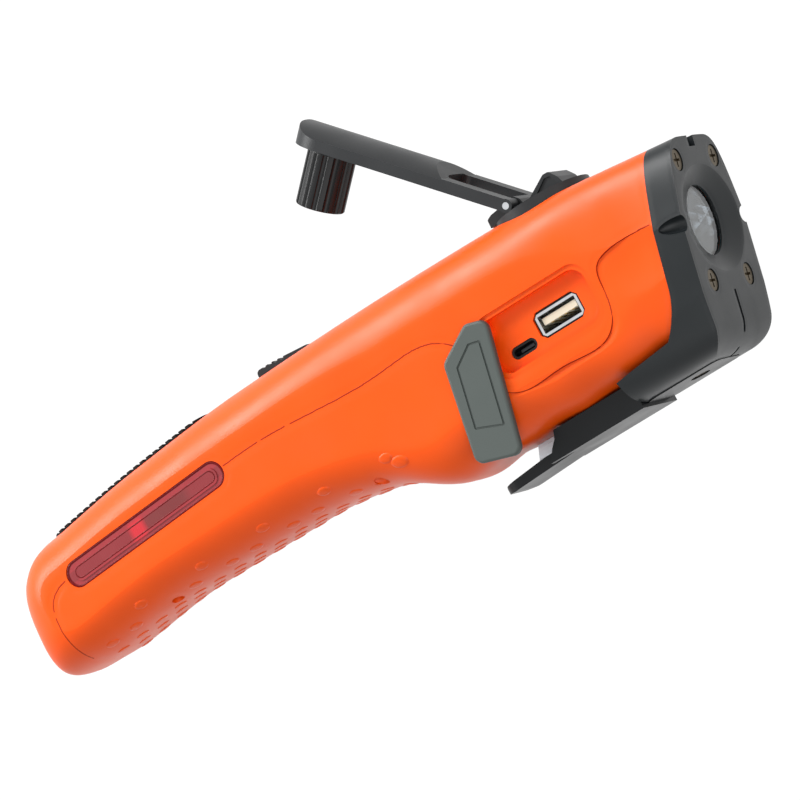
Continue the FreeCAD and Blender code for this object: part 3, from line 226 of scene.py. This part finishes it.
rotor_iron = metal("rotor_iron", tone(98, 98, 102), 0.5)
alloy = metal("heat_sink_alloy", tone(188, 190, 194), 0.35, (1, 6, 6))
# reflector chrome painted dark, with patches from much darker to much lighter: painted reflections
# in the facets
mirror = metal("reflector_chrome_painted_reflections", tone(84, 88, 94), 0.05)
mirror.mottle_and_painted_reflection(size_mm=4.5, amount=0.75)
lamp_red = Paint("lamp_red", tone(168, 36, 46), 0.22, coat=0.4)
lamp_red.sheen_of_use(size_mm=6.0, low=0.2, high=0.34)
lamp_red.grain(size_mm=0.6, depth_mm=0.02, strength=0.4)
glass = Paint("clear_lens", tone(244, 249, 250), 0.03)
glass.bsdf.inputs["Transmission Weight"].default_value = 1.0
glass.bsdf.inputs["IOR"].default_value = 1.46
glass.grain(size_mm=4.0, depth_mm=0.01, strength=0.1)

# the record's material slots, and what wears them
DRESS = {
    "housing_orange": orange,
    "head_black": head_black,
    "crank_black": crank_black,
    "knob_black": knob_black,
    "bright_steel": steel,
    "dark_steel": screw_steel,
    "brass": brass,
    "cover_grey": cover_grey,
    "lamp_red": lamp_red,
    "circuit_green": board_green,
    "pad_black": pad_black,
    "switch_grey": switch_grey,
    "hook_green": hook_green,
    "clear_lens": glass,
    "mirror_chrome": mirror,
    "led_yellow": led_yellow,
    "heat_sink_aluminium": alloy,
    "frame_black": frame_black,
    "cell_wrap": cell_wrap,
    "tongue_cream": cream,
    "gear_white": gear_white,
    "plate_steel": plate_steel,
    "winding_copper": copper,
    "rotor_iron": rotor_iron,
}


def wear(obj, paint):
    obj.data.materials.clear()
    obj.data.materials.append(paint.mat)


def smooth(obj):
    """Faces shade smoothly, and the normals that the frame brings keep true edges crisp."""
    mesh = obj.data
    mesh.polygons.foreach_set("use_smooth", [True] * len(mesh.polygons))
    mesh.update()


for part in frame["record"]["subparts"]:
    wear(nodes[part["node"]], DRESS[part["material_slot"]])
wear(nodes["belt_cutter_blade"], blade_steel)
# the small socket's shell wears the dark nickel, which paints the shade of its slot
wear(nodes["micro_usb_socket"], port_nickel_painted_shade)


# ---------------------------------------------------------------- tools for the small pieces


RAY_START = 60.0  # millimetres from the middle, outside every housing


def outer_skin(*names):
    """The nodes' surfaces, in millimetres from the middle plane, to throw rays at."""
    points, faces = [], []
    for name in names:
        mesh = nodes[name].data
        start = len(points)
        place = nodes[name].matrix_world
        points += [(place @ v.co) / MM - Vector((0, 0, HALF_WIDTH)) for v in mesh.vertices]
        faces += [[start + i for i in face.vertices] for face in mesh.polygons]
    return BVHTree.FromPolygons(points, faces)


def make_piece(name, bm, paint, body, shade=True):
    """A new piece from a mesh drawn in millimetres from the middle plane."""
    for vertex in bm.verts:
        vertex.co = at(*vertex.co)
        vertex.co.z = max(vertex.co.z, 0.0)
    bmesh.ops.recalc_face_normals(bm, faces=bm.faces)
    mesh = bpy.data.meshes.new(name)
    bm.to_mesh(mesh)
    bm.free()
    mesh.polygons.foreach_set("use_smooth", [shade] * len(mesh.polygons))
    obj = bpy.data.objects.new(name, mesh)
    bpy.context.collection.objects.link(obj)
    mesh.materials.append(paint.mat)
    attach(obj, body)
    return obj


def sweep(bm, points, outs, section, closed):
    """A bar along the points; the section's pairs go across the path and out of the surface."""
    rings = []
    count = len(points)
    for i, (point, out) in enumerate(zip(points, outs)):
        before = points[i - 1] if closed or i else point
        after = points[(i + 1) % count] if closed or i < count - 1 else point
        along = (after - before).normalized()
        across = along.cross(out).normalized()
        rings.append([bm.verts.new(point + across * a + out * b) for a, b in section])
    size = len(section)
    for i in range(count if closed else count - 1):
        first, second = rings[i], rings[(i + 1) % count]
        for k in range(size):
            bm.faces.new((first[k], first[(k + 1) % size], second[(k + 1) % size], second[k]))
    if not closed:
        bm.faces.new(rings[0])
        bm.faces.new(rings[-1][::-1])


def half_round(width, height, sink, steps=6):
    """A raised bead's section, with its foot a little under the surface."""
    turns = [math.pi * i / steps for i in range(steps + 1)]
    bead = [(width / 2 * math.cos(t), height * math.sin(t)) for t in turns]
    return bead + [(-width / 2, -sink), (width / 2, -sink)]


def stadium(middle, axis, half_length, half, height, side, steps=14):
    """Points round a slot shape that lies on one flank, and the way out of that flank."""
    across = Vector((-axis.y, axis.x, 0))
    points = []
    for end in (1, -1):
        for i in range(steps + 1):
            turn = math.pi * (i / steps - 0.5)
            offset = axis * (half_length + half * math.cos(turn)) + across * half * math.sin(turn)
            points.append(middle + offset * end + Vector((0, 0, height * side)))
    return points, [Vector((0, 0, side))] * len(points)


# ---------------------------------------------------------------- seam between the housings

# guide points along the seam, in x and y, from the belly at the tail to the light head
SEAM_GUIDE = [
    (-148.3, -13.9), (-149.9, -1.9), (-147.9, 6.6), (-143.3, 9.4), (-136.5, 10.0), (-84.0, 13.2),
    (-68.0, 14.2), (-22.5, 12.2), (-4.9, 11.1), (0.4, 6.7), (3.2, -5.4), (9.6, -12.0),
    (25.3, -12.6), (41.0, -12.0), (45.6, -5.4), (47.6, 5.7), (53.0, 7.8), (72.0, 6.0),
]
SEAM_STEP = 0.9
SEAM_SEARCH = 2.6  # how far off the guide the seam may lie
SEAM_HALVINGS = 12
SEAM_JUMP = 3 * SEAM_STEP  # points further apart than this don't join
SEAM_SHORTEST = 4  # runs of no more points than this are left out
SEAM_LEAST_WIDTH = 6.0  # nearer the middle plane than this lies only the inside
# the bead's section, across the seam and out of the surface
SEAM_SECTION = ((0.22, -0.03), (0.1, 0.06), (-0.1, 0.06), (-0.22, -0.03), (0.0, -0.2))
NUDGE_GROWTH, NUDGE_TURN, NUDGE_COUNT = 0.017, 2.4, 8
# a ray that slips between two triangles is thrown again from a little aside
SEAM_NUDGES = [
    (NUDGE_GROWTH * i * math.cos(NUDGE_TURN * i), NUDGE_GROWTH * i * math.sin(NUDGE_TURN * i), 0)
    for i in range(NUDGE_COUNT)
]
seam_paint = moulded("seam_shadow", tone(166, 42, 6), 0.6, 0.4, 0.01, specular=0.2)


def guide_points(guide, step):
    """Even points along a smooth line through the guide points."""
    path = [Vector((x, y, 0)) for x, y in guide]
    path = [path[0] * 2 - path[1]] + path + [path[-1] * 2 - path[-2]]
    out = []
    for a, b, c, d in zip(path, path[1:], path[2:], path[3:]):
        count = max(1, round((c - b).length / step))
        for i in range(count):
            t = i / count
            bend = (2 * a - 5 * b + 4 * c - d) * t * t + (3 * b - a - 3 * c + d) * t**3
            out.append((2 * b + (c - a) * t + bend) / 2)
    return out


def make_seam(side):
    """A fine bead along the line where the two housings meet, on one flank."""
    upper, lower = outer_skin("upper_housing"), outer_skin("lower_housing")

    def meets(x, y):
        """Which housing shows at a place on the flank, where and how it faces."""
        hits = []
        for label, skin in (("upper", upper), ("lower", lower)):
            for nudge in SEAM_NUDGES:
                start = Vector((x, y, side * RAY_START)) + Vector(nudge)
                place, normal, face, distance = skin.ray_cast(start, Vector((0, 0, -side)))
                if place is not None and place.z * side > SEAM_LEAST_WIDTH:
                    hits.append((distance, label, place, normal))
                    break
        return min(hits, key=lambda hit: hit[0]) if hits else None

    points, outs, runs = [], [], []
    guide = guide_points(SEAM_GUIDE, SEAM_STEP)
    for i in range(1, len(guide) - 1):
        way = guide[i + 1] - guide[i - 1]
        across = Vector((-way.y, way.x, 0)).normalized()
        low, high = guide[i] - across * SEAM_SEARCH, guide[i] + across * SEAM_SEARCH
        ends = meets(low.x, low.y), meets(high.x, high.y)
        found = None
        if all(ends) and ends[0][1] != ends[1][1]:
            found = ends[0]
            for _ in range(SEAM_HALVINGS):
                middle = (low + high) / 2
                hit = meets(middle.x, middle.y)
                if hit and hit[1] == ends[0][1]:
                    low, found = middle, hit
                else:
                    high = middle
        near = found and (not points or (found[2] - points[-1]).length < SEAM_JUMP)
        if not near and points:
            runs.append((points, outs))
            points, outs = [], []
        if found:
            points.append(found[2])
            outs.append(found[3] if found[3].z * side > 0 else -found[3])
    runs.append((points, outs))
    bm = bmesh.new()
    for points, outs in runs:
        if len(points) > SEAM_SHORTEST:
            sweep(bm, points, outs, SEAM_SECTION, closed=False)
    name = "near_seam" if side > 0 else "far_seam"
    make_piece(name, bm, seam_paint, "housing", shade=False)


make_seam(1)
make_seam(-1)


# ---------------------------------------------------------------- side lamps

LAMP_MIDDLE = Vector((-110.25, 11.3, 0))
LAMP_AXIS = Vector((52.5, 3.4, 0)).normalized()
LAMP_HALF_LENGTH = 26.25
LAMP_GAP = 112.8  # how far behind x = 0 the bright gap between the two boards lies
LAMP_BOARD = 101.5  # and the middle of the front board
# each ring: its half width, how much shorter it is than the lens, its width and its rise
LAMP_RINGS = ((3.66, 0.2, 0.74, 0.2), (1.66, 1.0, 0.4, 0.05))
lamp_edge = Paint("lamp_edge", tone(108, 6, 13), 0.4, specular=0.2)
lamp_edge.mottle_and_painted_reflection(size_mm=4.0, amount=0.1)
lamp_edge.sheen_of_use(size_mm=5.0, low=0.24, high=0.38)
lamp_edge.grain(size_mm=0.5, depth_mm=0.01, strength=0.3)


def dress_lamp_lens(paint):
    """The boards behind the window show through as dull patches, with a bright gap between two."""
    rose, board, bright = tone(158, 36, 44), tone(112, 30, 30), tone(214, 28, 44)
    apart = paint.new("ShaderNodeSeparateXYZ")
    paint.link(paint.place, apart.inputs["Vector"])
    slope = LAMP_AXIS.y / LAMP_AXIS.x

    def maths(kind, first, second):
        node = paint.new("ShaderNodeMath")
        node.operation = kind
        for socket, value in zip(node.inputs, (first, second)):
            if isinstance(value, float):
                socket.default_value = value
            else:
                paint.link(value, socket)
        return node.outputs[0]

    def blend(factor, first, second):
        mix = paint.new("ShaderNodeMix")
        mix.data_type = "RGBA"
        paint.link(factor, mix.inputs["Factor"])
        for name, value in (("A", first), ("B", second)):
            if isinstance(value, tuple):
                mix.inputs[name].default_value = value
            else:
                paint.link(value, mix.inputs[name])
        return mix.outputs["Result"]

    # in the mesh's own axes X runs along the torch and Y up it; the spans below are millimetres
    along = maths("MULTIPLY", apart.outputs["X"], 1000.0)
    height = maths("MULTIPLY", apart.outputs["Y"], 1000.0)
    line = maths("ADD", maths("MULTIPLY", along, slope), LAMP_MIDDLE.y - slope * LAMP_MIDDLE.x)
    off = maths("ABSOLUTE", maths("SUBTRACT", height, line), 0.0)
    inside = paint.ramp(off, 1.35, 1.55, 1, 0)
    gap = paint.ramp(maths("ABSOLUTE", maths("ADD", along, LAMP_GAP), 0.0), 1.6, 3.4, 1, 0)
    dark = paint.ramp(maths("ABSOLUTE", maths("ADD", along, LAMP_BOARD), 0.0), 6.5, 9.5, 1, 0)
    inner = blend(maths("MULTIPLY", dark, 0.8), shift(rose, 0.74), board)
    whole = blend(inside, rose, inner)
    fade = maths("MULTIPLY", gap, paint.ramp(off, 2.0, 3.4, 0.85, 0))
    colour = blend(fade, whole, bright)
    paint.link(colour, paint.bsdf.inputs["Base Color"])
    wave = paint.new("ShaderNodeTexWave", Scale=420.0, Distortion=0.4, Detail=1.0)
    wave.bands_direction = "X"
    paint.link(paint.place, wave.inputs["Vector"])
    paint.bump(wave.outputs["Fac"], 0.03, 0.35)


dress_lamp_lens(lamp_red)


def make_lamp_trim(side):
    """The dark edge of the window, and the fine line of the inner window."""
    bm = bmesh.new()
    heights = (21.2, 21.5) if side > 0 else (21.2, 21.44)
    for (half, shorter, width, rise), height in zip(LAMP_RINGS, heights):
        half_length = LAMP_HALF_LENGTH - shorter
        points, outs = stadium(LAMP_MIDDLE, LAMP_AXIS, half_length, half, height, side)
        sweep(bm, points, outs, half_round(width, rise, sink=0.1), closed=True)
    name = "near_lamp_trim" if side > 0 else "far_lamp_trim"
    make_piece(name, bm, lamp_edge, "housing")


make_lamp_trim(1)
make_lamp_trim(-1)


# ---------------------------------------------------------------- grip pads under the belly

GRIP_PITCH = 22.6
GRIP_FRONT = -56.5
GRIP_COUNT = range(-1, 5)
GRIP_SPAN = (-145, -34)
GRIP_AXIS_HEIGHT = 4.0
GRIP_RADIUS = 15.5
SCREWS = ((-117.7, 10.7), (-41.5, 15.2))  # along the torch, and from its middle plane
SCREW_CLEARANCE = 3.6
THUMB_PAD = (-31.4, 53.0, 1.25)  # the larger pad by the port cover: place, turn and size
PAD_HALF_LENGTH, PAD_HALF_WIDTH, PAD_POINTS = 2.35, 1.55, 18
# rings from the foot to the top: share of the size, and rise above the surface
PAD_RINGS = ((1.0, -0.12), (0.92, 0.12), (0.6, 0.24))
# rows from the middle of the belly outwards: the turn round the grip's axis in degrees, and
# the places in each pitch
GRIP_ROWS = [
    (0.0, (0.0, 7.53, 15.07)), (21.0, (3.77, 11.3, 18.8)), (42.5, (7.9, 16.8)), (59.0, (0.6,)),
]


def make_grip_pads():
    """Rows of low pads round the belly of the grip, clear of the screws."""
    skin = outer_skin("lower_housing")
    bm = bmesh.new()
    places = [THUMB_PAD]
    for turn, offsets in GRIP_ROWS:
        z = GRIP_RADIUS * math.sin(math.radians(turn))
        for k in GRIP_COUNT:
            for offset in offsets:
                x = GRIP_FRONT - k * GRIP_PITCH - offset
                clear = all(max(abs(x - sx), abs(z - sz)) > SCREW_CLEARANCE for sx, sz in SCREWS)
                if GRIP_SPAN[0] < x < GRIP_SPAN[1] and clear:
                    places.append((x, turn, 1.0))
    for x, turn, size in places:
        for side in (1, -1) if turn else (1,):
            lay_pad(bm, skin, x, math.radians(turn) * side, size)
    make_piece("grip_pads", bm, orange, "housing")


def lay_pad(bm, skin, x, turn, size):
    """One low pad: three rings that follow the surface, the outer one just under it."""
    way = Vector((0, math.cos(turn), -math.sin(turn)))
    across = Vector((0, math.sin(turn), math.cos(turn)))
    start = Vector((x, GRIP_AXIS_HEIGHT, 0)) - way * RAY_START
    rings = []
    for share, rise in PAD_RINGS:
        ring = []
        for i in range(PAD_POINTS):
            angle = 2 * math.pi * i / PAD_POINTS
            aside = Vector((PAD_HALF_LENGTH * math.cos(angle), 0, 0))
            aside += across * (PAD_HALF_WIDTH * math.sin(angle))
            place, normal, face, distance = skin.ray_cast(start + aside * size * share, way)
            if place is None or distance > RAY_START:
                return
            ring.append(place - (normal if normal.dot(way) > 0 else -normal) * rise)
        rings.append(ring)
    made = [[bm.verts.new(point) for point in ring] for ring in rings]
    for first, second in zip(made, made[1:]):
        for i in range(PAD_POINTS):
            j = (i + 1) % PAD_POINTS
            bm.faces.new((first[i], first[j], second[j], second[i]))
    bm.faces.new(made[-1])


make_grip_pads()


# ---------------------------------------------------------------- reflector

FACE_LEAN = math.radians(13)
FACE = Vector((75.0, 3.4, 0.0))
CUP_FRONT = -4.8
CUP_DEPTH = 11.0
RIM, THROAT = 9.5, 3.55
FACETS = 18
LEVELS = 6
CUP_WALL = 0.9


def in_head(out, up, side):
    """A point given from the middle of the face: out of it, up it and across it."""
    c, s = math.cos(FACE_LEAN), math.sin(FACE_LEAN)
    return FACE + Vector((out * c + up * s, -out * s + up * c, side))


def make_reflector():
    """A bowl of flat mirrors in rings, each ring half a facet on from the last."""
    bm = bmesh.new()
    for skin, grow in (("front", 0.0), ("back", CUP_WALL)):
        rings = []
        for k in range(LEVELS + 1):
            depth = CUP_DEPTH * k / LEVELS
            radius = THROAT + (RIM - THROAT) * math.sqrt(1 - depth / CUP_DEPTH) + grow
            ring = []
            for i in range(FACETS):
                turn = 2 * math.pi * (i + 0.5 * (k % 2)) / FACETS
                up, side = radius * math.sin(turn), radius * math.cos(turn)
                ring.append(bm.verts.new(in_head(CUP_FRONT - depth, up, side)))
            rings.append(ring)
        for k, (first, second) in enumerate(zip(rings, rings[1:])):
            for i in range(FACETS):
                j = (i + 1) % FACETS
                if k % 2:
                    bm.faces.new((first[i], first[j], second[j]))
                    bm.faces.new((first[i], second[j], second[i]))
                else:
                    bm.faces.new((first[i], first[j], second[i]))
                    bm.faces.new((first[j], second[j], second[i]))
        if skin == "front":
            front = rings
    for level in (0, -1):
        for i in range(FACETS):
            j = (i + 1) % FACETS
            bm.faces.new((front[level][i], front[level][j], rings[level][j], rings[level][i]))
    bowl = make_piece("reflector_bowl", bm, mirror, "housing", shade=False)
    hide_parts("reflector")


make_reflector()


# ---------------------------------------------------------------- inside the ports

CONTACTS = (-3.5, -1.0, 1.0, 3.5)  # places across the tongue
CONTACT_HALF_WIDTH = 0.5
FLOOR_HALF_LENGTH, FLOOR_THICKNESS = 6.1, 0.5
gold = metal("contact_gold", tone(214, 176, 92), 0.3)
# a black sheet that paints the shade in the larger socket's hollow
socket_painted_shade_black = moulded("socket_painted_shade_black", tone(16, 16, 17), 0.55, 0.4, 0.01)


def block(bm, low, high, bevel):
    """A block with rounded edges between two corners."""
    made = bmesh.ops.create_cube(bm, size=1.0)["verts"]
    for vertex in made:
        vertex.co = Vector([(a + b) / 2 + c * (b - a) for a, b, c in zip(low, high, vertex.co)])
    edges = list({edge for vertex in made for edge in vertex.link_edges})
    bmesh.ops.bevel(bm, geom=edges, offset=bevel, segments=2, affect="EDGES", profile=0.6)


def box_of(name):
    """A node's two corners, in millimetres from the middle plane."""
    low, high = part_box(name)
    away = Vector((0, 0, HALF_WIDTH))
    return Vector(low) / MM - away, Vector(high) / MM - away


def make_contacts():
    """Four spring contacts on the tongue, and a black floor in the larger socket, a dark sheet of
    painted shade in its hollow.
    """
    low, high = box_of("usb_socket_tongue")
    middle = (low.x + high.x) / 2
    bm = bmesh.new()
    for offset in CONTACTS:
        start, end = middle + offset - CONTACT_HALF_WIDTH, middle + offset + CONTACT_HALF_WIDTH
        block(bm, (start, low.y - 0.12, low.z + 3), (end, low.y + 0.05, high.z - 0.9), 0.06)
    make_piece("socket_contacts", bm, gold, "housing", shade=False)
    shell_low = box_of("usb_socket_shell")[0]
    bm = bmesh.new()
    floor = shell_low.z + 1.05
    start, end = middle - FLOOR_HALF_LENGTH, middle + FLOOR_HALF_LENGTH
    block(bm, (start, low.y - 2.0, floor), (end, high.y + 0.5, floor + FLOOR_THICKNESS), 0.1)
    make_piece("socket_shade_floor", bm, socket_painted_shade_black, "housing", shade=False)


make_contacts()


# ---------------------------------------------------------------- camera, floor and light

TO_CAMERA = Vector((0.43, -0.14, math.sqrt(1 - 0.43**2 - 0.14**2)))
RISE = math.radians(32)  # how steeply the torch's length climbs across the picture
PIXELS_PER_MM = 3.75
DISTANCE = 1250.0
PICTURE = 800
ANCHOR = at(30, 0, 20.5)
ANCHOR_PIXEL = (556, 316)

level = Vector((0, 1, 0)).cross(TO_CAMERA).normalized()
upright = TO_CAMERA.cross(level)
roll = RISE - math.atan2(upright.x, level.x)
right = math.cos(roll) * level - math.sin(roll) * upright
up = math.sin(roll) * level + math.cos(roll) * upright
offset = right * (ANCHOR_PIXEL[0] - PICTURE / 2) - up * (ANCHOR_PIXEL[1] - PICTURE / 2)
eye = ANCHOR + (TO_CAMERA * DISTANCE - offset / PIXELS_PER_MM) * MM

camera_data = bpy.data.cameras.new("camera")
camera_data.lens = camera_data.sensor_width * PIXELS_PER_MM * DISTANCE / PICTURE
camera_data.clip_end = 20
camera = bpy.data.objects.new("camera", camera_data)
facing = Matrix((right, up, TO_CAMERA)).transposed().to_4x4()
camera.matrix_world = Matrix.Translation(eye) @ facing
bpy.context.collection.objects.link(camera)
bpy.context.scene.camera = camera
bpy.context.scene.view_settings.view_transform = "Standard"


def seen_as_background(tree):
    """1 for rays that look at a surface straight, in a mirror or through glass."""
    path = tree.nodes.new("ShaderNodeLightPath")
    total = tree.nodes.new("ShaderNodeMath")
    total.operation = "MAXIMUM"
    tree.links.new(path.outputs["Is Camera Ray"], total.inputs[0])
    tree.links.new(path.outputs["Is Glossy Ray"], total.inputs[1])
    last = tree.nodes.new("ShaderNodeMath")
    last.operation = "MAXIMUM"
    tree.links.new(total.outputs[0], last.inputs[0])
    tree.links.new(path.outputs["Is Transmission Ray"], last.inputs[1])
    return last.outputs[0]


FLOOR_REACH = 4.0
FLOOR_DROP = 0.0002  # a hair under the torch, so that the two don't flicker
FLOOR_GREY = 0.5
FLOOR_GLOW = 1.12  # what the background shows
FLOOR_GLOW_SHARE = 0.9  # the rest of it takes the torch's shadow
WORLD_FILL = 0.27  # the soft light from all sides


def make_floor():
    """A pale floor that takes a faint shadow."""
    mesh = bpy.data.meshes.new("floor")
    corners = [(x * FLOOR_REACH, y * FLOOR_REACH) for x, y in ((-1, -1), (1, -1), (1, 1), (-1, 1))]
    mesh.from_pydata([(x, y, -FLOOR_DROP) for x, y in corners], [], [(0, 1, 2, 3)])
    floor = bpy.data.objects.new("floor", mesh)
    bpy.context.collection.objects.link(floor)
    mat = bpy.data.materials.new("floor")
    mat.use_nodes = True
    tree = mat.node_tree
    bsdf = tree.nodes["Principled BSDF"]
    bsdf.inputs["Base Color"].default_value = (FLOOR_GREY, FLOOR_GREY, FLOOR_GREY, 1)
    bsdf.inputs["Roughness"].default_value = 0.95
    bsdf.inputs["Specular IOR Level"].default_value = 0.0
    glow = tree.nodes.new("ShaderNodeEmission")
    glow.inputs["Color"].default_value = (1, 1, 1, 1)
    glow.inputs["Strength"].default_value = FLOOR_GLOW
    share = tree.nodes.new("ShaderNodeMath")
    share.operation = "MULTIPLY"
    share.inputs[1].default_value = FLOOR_GLOW_SHARE
    tree.links.new(seen_as_background(tree), share.inputs[0])
    mix = tree.nodes.new("ShaderNodeMixShader")
    tree.links.new(share.outputs[0], mix.inputs["Fac"])
    tree.links.new(bsdf.outputs["BSDF"], mix.inputs[1])
    tree.links.new(glow.outputs["Emission"], mix.inputs[2])
    tree.links.new(mix.outputs["Shader"], tree.nodes["Material Output"].inputs["Surface"])
    mesh.materials.append(mat)


def make_world():
    """White to look at, and a soft fill for the object."""
    world = bpy.data.worlds.new("studio")
    bpy.context.scene.world = world
    world.use_nodes = True
    tree = world.node_tree
    back = tree.nodes["Background"]
    back.inputs["Color"].default_value = (1, 1, 1, 1)
    strength = tree.nodes.new("ShaderNodeMapRange")
    strength.inputs["To Min"].default_value = WORLD_FILL
    strength.inputs["To Max"].default_value = 1.0
    tree.links.new(seen_as_background(tree), strength.inputs["Value"])
    tree.links.new(strength.outputs["Result"], back.inputs["Strength"])


def soft_lamp(name, way, distance, width, height, watts):
    """A soft box on the side of the torch that the way points to."""
    data = bpy.data.lights.new(name, "AREA")
    data.shape = "RECTANGLE"
    data.size = width
    data.size_y = height
    data.energy = watts
    lamp = bpy.data.objects.new(name, data)
    middle = at(-30, 0, 0)
    way = Vector(way).normalized()
    lamp.location = middle + way * distance
    lamp.rotation_euler = way.to_track_quat("Z", "Y").to_euler()
    bpy.context.collection.objects.link(lamp)


make_floor()
make_world()
# each lamp: the way to it, its distance, its width and height in metres, and its watts
soft_lamp("key", (-0.43, 0.75, 0.50), 1.1, 1.7, 0.32, 22)
soft_lamp("front", (0.9, 0.2, 0.4), 1.2, 0.5, 0.5, 1.2)
soft_lamp("fill", (0.35, -0.40, 0.85), 1.5, 1.6, 1.2, 9.5)

for node in nodes.values():
    smooth(node)
